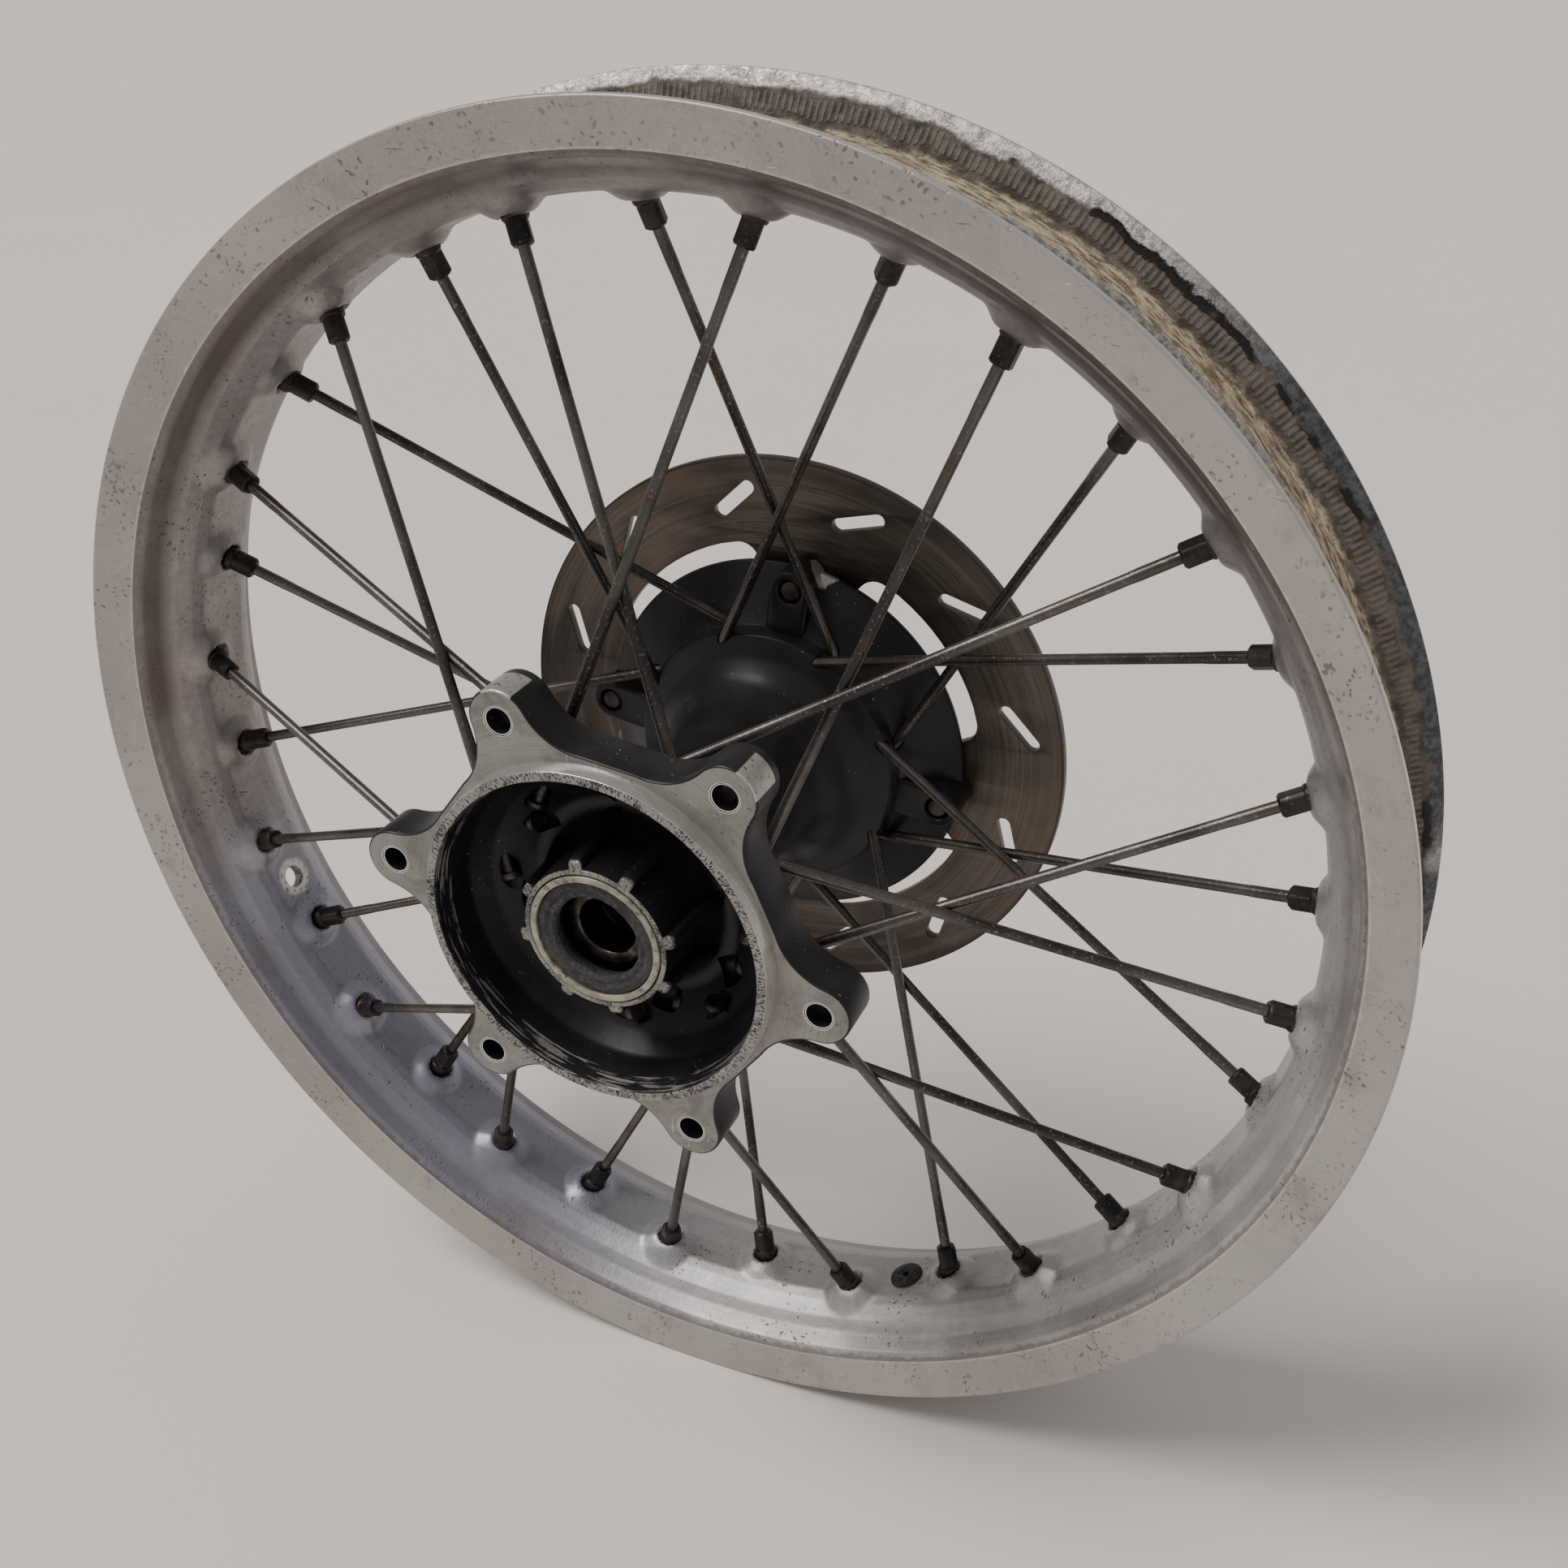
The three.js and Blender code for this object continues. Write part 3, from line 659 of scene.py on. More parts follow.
def machined_finish():
    """Bare turned metal of the sprocket face, stained grey."""
    f = Finish("hub_machined", Metallic=0.75)
    rings = f.noise(1, 3, at=f.round_axle(0.5, 0.0004))
    tone = f.mix(f.step(rings, 0.2, 0.8), (0.25, 0.24, 0.228), (0.335, 0.322, 0.308))
    stain = f.step(f.noise(42, 6, 0.7, distortion=0.8), 0.42, 0.66)
    colour = f.tint(tone, stain, 0.65, (0.150, 0.142, 0.130))
    nick = f.both(f.step(f.cells(330, f.bent(0.01)), 0.20, 0.09), f.patch(0.46, 0.58, 60, 3))
    colour = f.tint(colour, nick, 0.8, (0.06, 0.056, 0.052))
    colour = f.mix(f.times(f.scratches((700, 60, 120), 23, 0.65), 0.6), colour, (0.62, 0.60, 0.57))
    rough = f.blend(f.noise(90, 4), 0.36, 0.58)
    height = f.plus(f.times(rings, 0.4), f.times(f.noise(600, 3), 0.6))
    return f.done(colour, rough, relief=height, depth=0.06)


def register_finish():
    """The bright wall of the ring that centres the sprocket."""
    f = Finish("hub_register", Metallic=0.9)
    rings = f.noise(1, 3, at=f.round_axle(0.2, 0.0004))
    colour = f.mix(f.step(rings, 0.3, 0.7), (0.74, 0.72, 0.69), (0.90, 0.88, 0.85))
    stain = f.patch(0.56, 0.70, 120, 5, 0.7)
    colour = f.tint(colour, stain, 0.5, (0.26, 0.25, 0.23))
    return f.done(colour, f.blend(f.noise(120, 4), 0.18, 0.36), relief=rings, depth=0.04)


def flaked_finish(name, length, width, share, metal, edge_only=False):
    """Black paint that has flaked or been scraped off bare metal in streaks."""
    f = Finish(name, Specular_IOR_Level=0.35)
    paint, rough = paint_colours(f)
    streaks = f.noise(1, 5, 0.65, at=f.round_axle(length, width))
    patchy = f.plus(streaks, f.sway(f.noise(90, 4), 0.35))
    bare = f.step(patchy, share, share + 0.06)
    if edge_only:
        ragged = f.plus(f.parts(f.place)[1], f.sway(f.noise(300, 4), 0.003))
        bare = f.both(bare, f.step(ragged, -0.0845, -0.0853))
    colour = f.mix(bare, paint, f.mix(f.noise(700, 3), tuple(c * 0.45 for c in metal), metal))
    return f.done(colour, f.blend(bare, rough, 0.48), f.times(bare, 0.7),
                  f.minus(1.0, bare), 0.08)


def disc_finish():
    """Brown tarnished disc steel, rubbed in circles by the pads."""
    f = Finish("disc_steel", Metallic=0.8)
    rings = f.noise(1, 4, 0.6, at=f.round_axle(0.9, 0.0008))
    bands = f.noise(1, 3, 0.5, at=f.round_axle(1.2, 0.005))
    tone = f.mix(f.step(rings, 0.25, 0.75), (0.088, 0.074, 0.062), (0.175, 0.150, 0.128))
    rust = f.step(f.plus(f.noise(20, 5), f.sway(bands, 0.7)), 0.44, 0.72)
    colour = f.tint(tone, rust, 0.65, (0.205, 0.160, 0.120))
    dark = f.step(f.plus(f.noise(9, 4), f.sway(bands, 0.5)), 0.44, 0.66)
    colour = f.tint(colour, dark, 0.75, (0.040, 0.036, 0.034))
    edge = f.step(f.axle_radius(), 0.1088, 0.1095)
    colour = f.tint(colour, edge, 0.7, (0.050, 0.044, 0.040))
    rough = f.blend(rings, 0.34, 0.50)
    return f.done(colour, rough, relief=f.plus(rings, f.times(f.noise(300, 3), 0.4)), depth=0.05)


def spoke_finish():
    """Dull dark plate, brown with oil and rust in places."""
    f = Finish("spoke_steel", Metallic=0.8)
    tone = f.mix(f.patch(0.38, 0.62, 16, 4), (0.048, 0.045, 0.042), (0.135, 0.127, 0.118))
    rust = f.patch(0.52, 0.68, 60, 6, 0.7)
    colour = f.tint(tone, rust, 0.7, (0.095, 0.068, 0.048))
    specks = f.patch(0.60, 0.68, 900, 2)
    colour = f.tint(colour, specks, 0.6, (0.26, 0.245, 0.225))
    rough = f.blend(f.noise(130, 4), 0.26, 0.48)
    return f.done(colour, rough, relief=f.noise(1100, 3), depth=0.06)


def nipple_finish():
    """Dark oxidised nipples, rusty at some collars and lighter where they are worn."""
    f = Finish("nipple_steel", Metallic=0.5)
    tone = f.mix(f.patch(0.35, 0.65, 120, 4), (0.010, 0.010, 0.011), (0.034, 0.030, 0.028))
    below = f.step(f.parts(f.place)[2], -0.02, -0.12)
    rust = f.patch(0.50, 0.66, 38, 4)
    colour = f.mix(f.times(rust, f.blend(below, 0.12, 0.6)), tone, (0.105, 0.062, 0.040))
    worn = f.patch(0.62, 0.72, 700, 3)
    colour = f.tint(colour, worn, 0.45, (0.20, 0.185, 0.17))
    return f.done(colour, f.blend(f.noise(200, 4), 0.32, 0.58), relief=f.noise(800, 3), depth=0.06)


def bolt_finish():
    f = Finish("bolt_steel", Metallic=0.8)
    tone = f.mix(f.patch(0.35, 0.65, 150, 5), (0.030, 0.028, 0.027), (0.095, 0.088, 0.082))
    rust = f.patch(0.58, 0.70, 260, 5, 0.7)
    colour = f.tint(tone, rust, 0.8, (0.16, 0.095, 0.060))
    return f.done(colour, f.blend(f.noise(300, 4), 0.34, 0.60), relief=f.noise(900, 3), depth=0.06)


def olive_finish():
    """Olive passivated plate of the bearing retainer, with dark dirt."""
    f = Finish("olive_plate", Metallic=0.45)
    tone = f.mix(f.patch(0.35, 0.65, 160, 5), (0.27, 0.265, 0.20), (0.44, 0.435, 0.34))
    dirt = f.patch(0.54, 0.64, 330, 5, 0.7)
    colour = f.tint(tone, dirt, 0.7, (0.07, 0.068, 0.058))
    return f.done(colour, f.blend(f.noise(220, 4), 0.45, 0.70), relief=f.noise(700, 4), depth=0.12)


def seal_finish():
    """Dry rubber of the dust seal, cracked and packed with grey dirt."""
    f = Finish("seal_rubber")
    grain = f.noise(1, 6, 0.75, at=f.round_axle(0.35, 0.0016), distortion=0.6)
    tone = f.mix(f.step(grain, 0.36, 0.62), (0.012, 0.012, 0.013), (0.060, 0.060, 0.062))
    lumps = f.patch(0.42, 0.62, 520, 5, 0.7)
    colour = f.tint(tone, lumps, 0.45, (0.095, 0.095, 0.094))
    cracks = f.step(f.cells(300), 0.06, 0.02)
    colour = f.mix(cracks, colour, (0.20, 0.20, 0.195))
    return f.done(colour, f.blend(grain, 0.60, 0.90), relief=f.plus(grain, lumps), depth=0.35)


def bearing_finish():
    f = Finish("bearing_steel", Metallic=0.9)
    rings = f.noise(1, 3, at=f.round_axle(0.3, 0.0005))
    tone = f.mix(f.step(rings, 0.3, 0.7), (0.075, 0.066, 0.058), (0.17, 0.152, 0.135))
    grease = f.patch(0.34, 0.56, 170, 5)
    colour = f.tint(tone, grease, 0.75, (0.018, 0.014, 0.012))
    return f.done(colour, f.blend(f.noise(150, 4), 0.18, 0.42), relief=f.noise(500, 3), depth=0.05)


def tube_finish():
    f = Finish("tube_alloy", Metallic=0.85)
    rings = f.noise(1, 3, at=f.round_axle(0.3, 0.0005))
    tone = f.mix(f.step(rings, 0.3, 0.7), (0.20, 0.195, 0.185), (0.36, 0.35, 0.34))
    grease = f.patch(0.42, 0.64, 120, 5)
    colour = f.tint(tone, grease, 0.7, (0.050, 0.040, 0.030))
    return f.done(colour, f.blend(f.noise(150, 4), 0.25, 0.50), relief=rings, depth=0.05)


def rubber_finish():
    f = Finish("plug_rubber")
    colour = f.mix(f.patch(0.4, 0.65, 400, 5), (0.012, 0.012, 0.013), (0.045, 0.044, 0.043))
    return f.done(colour, f.blend(f.noise(300, 4), 0.55, 0.80), relief=f.noise(900, 4), depth=0.08)


def floor_finish():
    f = Finish("floor_board")
    colour = f.mix(f.noise(1.6, 3), (0.83, 0.795, 0.775), (0.87, 0.835, 0.815))
    return f.done(colour, f.blend(f.noise(40, 3), 0.55, 0.70), relief=f.noise(600, 3), depth=0.02)


# ---------------------------------------------------------------- camera, light and floor


def add_camera():
    """The view of the sprocket side from above and to the right, 0.57 m from its target."""
    data = bpy.data.cameras.new("camera")
    data.sensor_width = 36
    data.lens = CAMERA_LENS
    data.shift_x, data.shift_y = CAMERA_SHIFT
    data.clip_start = 0.01
    camera = bpy.data.objects.new("camera", data)
    camera.location = CAMERA_FROM
    gaze = Vector(CAMERA_TO) - camera.location
    camera.rotation_euler = gaze.to_track_quat("-Z", "Y").to_euler()
    bpy.context.scene.collection.objects.link(camera)
    bpy.context.scene.camera = camera


def add_studio():
    """Even pale surroundings, a broad overhead light from the left and the floor."""
    world = bpy.data.worlds.new("studio")
    world.use_nodes = True
    backdrop = world.node_tree.nodes["Background"]
    backdrop.inputs["Color"].default_value = (0.76, 0.735, 0.715, 1)
    backdrop.inputs["Strength"].default_value = WORLD_STRENGTH
    bpy.context.scene.world = world
    data = bpy.data.lights.new("overhead", "SUN")
    data.energy = SUN_STRENGTH
    data.angle = math.radians(SUN_ANGLE)
    data.color = (1.0, 0.965, 0.93)
    light = bpy.data.objects.new("overhead", data)
    light.location = SUN_FROM
    light.rotation_euler = Vector(SUN_FROM).to_track_quat("Z", "Y").to_euler()
    bpy.context.scene.collection.objects.link(light)
    floor = mesh_object("floor", [floor_grid(FLOOR_SIZE)], [floor_finish()])


def floor_grid(size):
    """A level square of a few large tiles under the wheel."""
    ticks = [-size, -size / 8, 0, size / 8, size]
    places = np.array([(x, y, FLOOR_Z / MM) for y in ticks for x in ticks])
    corners = [row * 5 + column for row in range(4) for column in range(4)]
    faces = [(start, start + 1, start + 6, start + 5) for start in corners]
    return places, faces, [0] * len(faces)


# ---------------------------------------------------------------- spokes and nipples


class Spoke:
    """The line of one spoke, from where it crosses its twin at the hub to the rim."""

    def __init__(self, index):
        self.index = index
        self.side = DISC_SIDE if index % 2 == 0 else SPROCKET_SIDE
        self.swing = 1 if index % 4 in (1, 2) else -1
        self.rim_angle = FIRST_SPOKE_ANGLE - index * SPOKE_PITCH
        hub_angle = self.rim_angle + self.swing * PAIR_SPAN * SPOKE_PITCH + self.side["hub_turn"]
        crossing_y = self.side["crossing_y"] - self.swing * CROSSING_OFFSET
        self.crossing = on_circle(CROSSING_RADIUS, hub_angle, crossing_y)
        rim_point = on_circle(RIM_WELL_RADIUS, self.rim_angle, self.side["rim_row_y"])
        self.length = (rim_point - self.crossing).length
        self.direction = (rim_point - self.crossing) / self.length

    def matrix(self, distance=0.0, spin=0.0):
        return along(self.crossing + self.direction * distance, self.direction, spin)


SPOKES = [Spoke(index) for index in range(SPOKE_COUNT)]


def many_sided(flat, sides):
    """Limits a round section to flats, for a part turned about its own axis."""

    def shape(radius, y, turn):
        wedge = 2 * math.pi / sides
        off = np.abs((turn + wedge / 2) % wedge - wedge / 2)
        limit = np.where(flat(y) > 0, flat(y) / np.cos(off), 1e9)
        return np.minimum(radius, limit), y

    return shape


def spoke_parts(spoke):
    """A straight pull spoke: domed head, thick end, thinner middle."""
    end = spoke.length + 1
    outline = [
        (0, HEAD_SEAT - 2.4, 0), (2.6, HEAD_SEAT - 2.4, 0.8), (3.6, HEAD_SEAT - 1.2, 0.6),
        (3.6, HEAD_SEAT, 0.2), (2.0, HEAD_SEAT, 0.3), (2.0, 30, 0), (1.85, 44, 0),
        (1.85, spoke.length - NIPPLE_REACH - 16, 0),
        (2.0, spoke.length - NIPPLE_REACH - 12, 0), (2.0, end, 0), (0, end, 0),
    ]
    return [moved(turned(outline, 16), spoke.matrix())]


def nipple_parts(spoke):
    """A nipple: open tip, square body, round collar and a domed head in the channel."""
    seat = 219.4 - RIM_WELL_RADIUS
    outline = [
        (2.0, -NIPPLE_REACH + 2, 0), (2.1, -NIPPLE_REACH, 0), (3.1, -NIPPLE_REACH, 0.25),
        (4.0, -NIPPLE_REACH + 0.8, 0.3), (4.0, -5.0, 0.2), (4.45, -4.4, 0.3),
        (4.45, -2.2, 0.3), (4.0, -1.6, 0), (3.9, seat - 1.2, 0), (5.1, seat, 0.4),
        (5.1, seat + 1.0, 1.0), (2.9, seat + 2.4, 1.5), (0, seat + 2.5, 0),
    ]
    flats = many_sided(lambda y: np.where((y > -NIPPLE_REACH + 0.2) & (y < -5.05), 3.45, 0), 4)
    body = turned(outline, 40, flats)
    return [moved(body, spoke.matrix(spoke.length, spoke.index * NIPPLE_TURN))]


def add_spokes():
    steel, dark = spoke_finish(), nipple_finish()
    for spoke in SPOKES:
        number = f"{spoke.index + 1:02}"
        bar, nipple = spoke_parts(spoke), nipple_parts(spoke)
        add_piece(f"spoke_bar_{number}", bar, [steel], "wheel", [f"spoke_{number}"])
        add_piece(f"spoke_nipple_{number}", nipple, [dark], "wheel", [])


# ---------------------------------------------------------------- rim

FACE, WELL, CHANNEL = range(3)


def rim_half():
    """The rim section from the middle of the channel, over the lip, to the middle of the well."""
    lip = RIM_RADIUS
    width = RIM_HALF_WIDTH
    return [
        (RIM_WELL_RADIUS + SHELL_THICKNESS, 12, 5, CHANNEL), (227.6, 17.5, 1.6, CHANNEL),
        (228.6, 25.5, 1.6, CHANNEL), (240.3, width - 4.2, 2, CHANNEL),
        (lip, width - 2.6, 0.9, FACE), (lip - 0.4, width, 0.9, FACE),
        (227.4, 31.4, 0.35, WELL), (224.9, 29.2, 2.4, WELL), (221.9, 23.4, 5, WELL),
        (218.3, 19.8, 3, WELL), (214.8, 14.6, 4, WELL), (RIM_WELL_RADIUS, 10.6, 4, WELL),
    ]


def rim_section():
    """Both halves. A zone is that of the stretch after its corner, so the mirror shifts it."""
    half = rim_half()
    back = half[::-1]
    zones = [corner[3] for corner in back[1:]] + [CHANNEL]
    mirrored = [(r, -y, fillet, zone) for (r, y, fillet, _), zone in zip(back, zones)]
    return stepped(rounded(half + mirrored), 1.0)


def rim_angles():
    """Turns round the rim, close together where the dimples are."""
    dense = DIMPLE_RADIUS / RIM_WELL_RADIUS
    pitch = math.radians(SPOKE_PITCH)
    angles = []
    for spoke in SPOKES:
        middle = math.radians(spoke.rim_angle)
        angles += [middle + dense * k / 13 for k in range(-13, 14)]
        gap = pitch - 2 * dense
        angles += [middle + dense + gap * k / 6 for k in range(1, 6)]
    return np.array(sorted(angle % (2 * math.pi) for angle in angles))


def dimpled(radius, y, turn):
    """Presses a dimple with a small crater round each spoke hole towards the hub."""
    hub_side = radius < RIM_WELL_RADIUS + SHELL_THICKNESS / 2 + 0.3 * np.abs(y)
    push = np.zeros_like(radius)
    for spoke in SPOKES:
        off = (turn - math.radians(spoke.rim_angle) + math.pi) % (2 * math.pi) - math.pi
        distance = np.hypot(off * RIM_WELL_RADIUS, y - spoke.side["rim_row_y"])
        slope = np.clip((distance - DIMPLE_TOP) / (DIMPLE_RADIUS - DIMPLE_TOP), 0, 1)
        crater = np.clip((CRATER_RADIUS + 0.5 - distance) / 0.9, 0, 1)
        push += (0.5 + 0.5 * np.cos(math.pi * slope)) * DIMPLE_HEIGHT - crater * 2.1
    return radius - np.where(hub_side, push, np.clip(push, 0, 1.6)), y


def radial_rod(angle, radius, start, end):
    """A cutting cylinder that points away from the axle."""
    return moved(rod(radius, start, end, 32), along(Vector(), on_circle(1, angle)))


def add_rim():
    finishes = [rim_face_finish(), rim_well_finish(), rim_channel_finish()]
    rim = mesh_object("rim_hoop", [sweep_round(rim_section(), rim_angles(), dimpled)], finishes)
    turns = (VALVE_HOLE_ANGLE, RIM_LOCK_HOLE_ANGLE)
    carve(rim, [radial_rod(turn, RIM_HOLE_RADIUS, 200, 226) for turn in turns], finishes[CHANNEL])
    place(rim, "wheel", nodes_named("rim_arc"), 40)
    plug = [
        (0, -3.0, 0), (1.3, -3.0, 0), (1.3, 1.2, 0.3), (3.2, 1.9, 0.6), (6.4, 1.1, 0.5),
        (6.6, 0.1, 0), (4.5, -0.2, 0), (4.5, -4.8, 0), (6.0, -5.2, 0.4), (4.0, -7.0, 0.5),
        (0, -7.0, 0),
    ]
    spot = on_circle(RIM_WELL_RADIUS, RIM_LOCK_HOLE_ANGLE)
    part = moved(turned(plug, 48), along(spot, -spot.normalized()))
    add_piece("rim_lock_plug", [part], [rubber_finish()], "wheel", [])


# ---------------------------------------------------------------- hub

PAINT, MACHINED, REGISTER, LAND, SCUFFED = range(5)


def flat_spot(radius, turn):
    """A point of the XZ plane, at an angle in radians."""
    return radius * math.cos(turn), radius * math.sin(turn)


def lobed_outline():
    """Six lobes round the bolt holes, joined by concave scallops."""
    fillet_centre = SCALLOP_RADIUS + SCALLOP_FILLET
    reach = LOBE_TIP_RADIUS + SCALLOP_FILLET
    squares = fillet_centre**2 + SPROCKET_BOLT_RADIUS**2 - reach**2
    spread = math.acos(squares / (2 * fillet_centre * SPROCKET_BOLT_RADIUS))
    points = []
    for lobe in range(LOBE_COUNT):
        middle = math.radians(FIRST_LOBE_ANGLE + lobe * 360 / LOBE_COUNT)
        tip = flat_spot(SPROCKET_BOLT_RADIUS, middle)
        before = flat_spot(fillet_centre, middle - spread)
        after = flat_spot(fillet_centre, middle + spread)
        start = math.atan2(before[1] - tip[1], before[0] - tip[0])
        end = math.atan2(after[1] - tip[1], after[0] - tip[0])
        if end < start:
            end += 2 * math.pi
        turn = middle - spread - start
        sweep = math.atan2(math.sin(turn), math.cos(turn))
        fillet_start = middle - spread + math.pi
        points += arc(*before, SCALLOP_FILLET, fillet_start, fillet_start - sweep, 12)
        points += arc(*tip, LOBE_TIP_RADIUS, start, end, 26)[1:-1]
        points += arc(*after, SCALLOP_FILLET, end + math.pi, end + math.pi - sweep, 12)
    return points


def sprocket_bolt_spots():
    """The places of the sprocket bolts, on the machined face of the flange."""
    turns = [FIRST_LOBE_ANGLE + lobe * 360 / LOBE_COUNT for lobe in range(LOBE_COUNT)]
    return [on_circle(SPROCKET_BOLT_RADIUS, turn, FLANGE_FACE_Y) for turn in turns]


def flange_part():
    """The lobed sprocket flange, with a chamfer round each bolt hole."""
    outlines = [lobed_outline(), circle(0, 0, SCALLOP_RADIUS - 3.6, 96)]
    outlines += [circle(spot.x, spot.z, SPROCKET_HOLE_RADIUS) for spot in sprocket_bolt_spots()]
    return plate(outlines, FLANGE_FACE_Y, FLANGE_BACK_Y, 0.7, (MACHINED, PAINT, PAINT), 4)


def hole_rims():
    """Thin bright chamfers inside the mouths of the sprocket bolt holes."""
    section = [(4.35, 0.2), (5.15, -0.05), (5.15, 0.15), (4.45, 0.9)]
    ring = sweep_round([(r, y, REGISTER) for r, y in section], full_turn(40))
    return [moved(ring, Matrix.Translation(spot)) for spot in sprocket_bolt_spots()]


def casting_section():
    """The turned section of the hub: bowl, register ring, barrel, dish and bearing bores."""
    sprocket_bowl = [
        (25.4, SPROCKET_BOSS_Y, 0.7, PAINT), (26.4, -66, 6, PAINT), (31, -56.8, 5, PAINT),
        (37, -56.2, 6, PAINT), (49.5, -66.5, 9, PAINT), (54.6, -73.5, 5, PAINT),
        (56.0, -81.0, 0.5, SCUFFED), (57.2, -88.6, 0.5, LAND), (60.4, -88.6, 0.5, REGISTER),
        (61.2, FLANGE_FACE_Y, 0, PAINT),
    ]
    barrel = [
        (61.3, FLANGE_BACK_Y + 1, 2, PAINT), (54, -64, 4, PAINT), (46.7, -57.5, 8, PAINT),
        (38, -46, 16, PAINT), (31, -28, 30, PAINT), (27.4, -8, 30, PAINT),
        (27.4, 6, 30, PAINT), (31, 24, 24, PAINT), (36.5, 33.5, 14, PAINT),
        (43, 38.6, 9, PAINT), (50.6, 41.2, 1.6, PAINT), (52.4, 46, 1.2, PAINT),
        (72.6, 58.8, 1.2, PAINT), (72.6, 61.2, 0.9, PAINT),
    ]
    dish = [
        (70.6, 61.6, 1.0, PAINT), (44.7, 50.6, 8, PAINT), (36, 44.0, 6, PAINT),
        (31, 43.4, 5, PAINT), (28.6, 49, 5, PAINT), (27, DISC_BOSS_Y, 0.8, MACHINED),
    ]
    seats = [
        (23.5, DISC_BOSS_Y, 0.5, MACHINED), (23.5, 55.7, 0, MACHINED), (18, 55.7, 0, PAINT),
        (18, -63.7, 0, MACHINED), (23.5, -63.7, 0, MACHINED),
        (23.5, SPROCKET_BOSS_Y, 0.5, LAND),
    ]
    return stepped(rounded(sprocket_bowl + barrel + dish + seats), 6.0)


def boss_rib(angle):
    """A draft rib on the sprocket side boss, ending in a small tooth at its rim."""
    outline = [
        (23.9, SPROCKET_BOSS_Y + 0.2, 0), (27.9, SPROCKET_BOSS_Y + 0.2, 1.2),
        (28.9, -82.5, 2), (29.2, -72, 6), (33.5, -57.4, 2), (24.5, -57.4, 0),
    ]
    flat = [(a, b) for a, b, _ in rounded(outline)]
    rib = plate([flat], -2.3, 2.3, 1.1, steps=4)
    stand = Matrix(((1, 0, 0, 0), (0, 0, 1, 0), (0, -1, 0, 0), (0, 0, 0, 1)))
    return moved(rib, Matrix.Rotation(-math.radians(angle), 4, "Y") @ stand)


def disc_boss(index):
    """A long rounded boss that carries one disc bolt."""
    half, inner = 7.6, 54
    outline = arc(DISC_BOLT_RADIUS, 0, half, -math.pi / 2, math.pi / 2, 18)
    outline += arc(inner, 0, half, math.pi / 2, 3 * math.pi / 2, 18)
    hole = circle(DISC_BOLT_RADIUS, 0, DISC_THREAD_RADIUS, 32)
    boss = plate([outline, hole], 45.6, DISC_FACE_Y - 0.2, 1.3, steps=5)
    return moved(boss, Matrix.Rotation(-math.radians(DISC_BOLT_ANGLE - 90 * index), 4, "Y"))


def spoke_cutter(spoke):
    """The hole of a spoke through its flange, and the pocket that its head drops into."""
    pocket, hole = HEAD_SEAT + 0.3, 2.4
    outline = [
        (0, HEAD_SEAT - 9, 0), (5.4, HEAD_SEAT - 9, 0), (4.7, pocket - 1.2, 1.0),
        (hole, pocket, 0.4), (hole, 12, 0), (0, 12, 0),
    ]
    return moved(turned(outline, 24), spoke.matrix())


def disc_bolt_spots():
    """The places of the disc bolts, on the circle that they share."""
    turns = [DISC_BOLT_ANGLE - index * 360 / DISC_BOLT_COUNT for index in range(DISC_BOLT_COUNT)]
    return [on_circle(DISC_BOLT_RADIUS, turn) for turn in turns]


def add_hub():
    paint = hub_paint_finish()
    metal = (0.46, 0.445, 0.42)
    land = flaked_finish("hub_land", 0.008, 0.0013, 0.43, metal, True)
    scuffed = flaked_finish("hub_scuffed", 0.30, 0.0011, 0.52, metal)
    finishes = [paint, machined_finish(), register_finish(), land, scuffed]
    angles = full_turn(192)
    casting = mesh_object("hub_casting", [sweep_round(casting_section(), angles)], finishes)
    for swing in (-1, 1):
        carve(casting, [spoke_cutter(spoke) for spoke in SPOKES if spoke.swing == swing], paint)
    hole = rod(DISC_THREAD_RADIUS, 40, 70, 128)
    carve(casting, [moved(hole, Matrix.Translation(spot)) for spot in disc_bolt_spots()], paint)
    place(casting, "wheel", nodes_named("hub_"), 30)
    flange = [flange_part(), *hole_rims()]
    add_piece("sprocket_flange", flange, finishes, "wheel", [], 30)
    pairs = [RIB_CENTRE_ANGLE - 90 * quarter for quarter in range(4)]
    ribs = [boss_rib(middle + side * RIB_SPREAD) for middle in pairs for side in (-1, 1)]
    add_piece("boss_ribs", ribs, [land], "wheel", [], 30)
    bosses = [disc_boss(index) for index in range(DISC_BOLT_COUNT)]
    add_piece("disc_bosses", bosses, finishes, "wheel", [], 30)


# ---------------------------------------------------------------- brake disc


def disc_inside():
    """The inner edge of the disc: four bolt tabs with a wide window between each two."""
    corners = []
    for tab in range(DISC_BOLT_COUNT):
        middle = DISC_BOLT_ANGLE + 90 * tab
        tab_turns = ((-12, 5), (-4, 0), (4, 0), (12, 5))
        spots = [(DISC_TAB_RADIUS, turn, fillet) for turn, fillet in tab_turns]
        spots += [(DISC_WINDOW_RADIUS, 18, 9)]
        spots += [(DISC_WINDOW_RADIUS, turn, 0) for turn in range(27, 64, 4)]
        spots += [(DISC_WINDOW_RADIUS, 72, 9)]
        for radius, turn, fillet in spots:
            point = on_circle(radius, middle + turn)
            corners.append((point.x, point.z, fillet))
    return [(a, b) for a, b, _ in rounded(corners)]


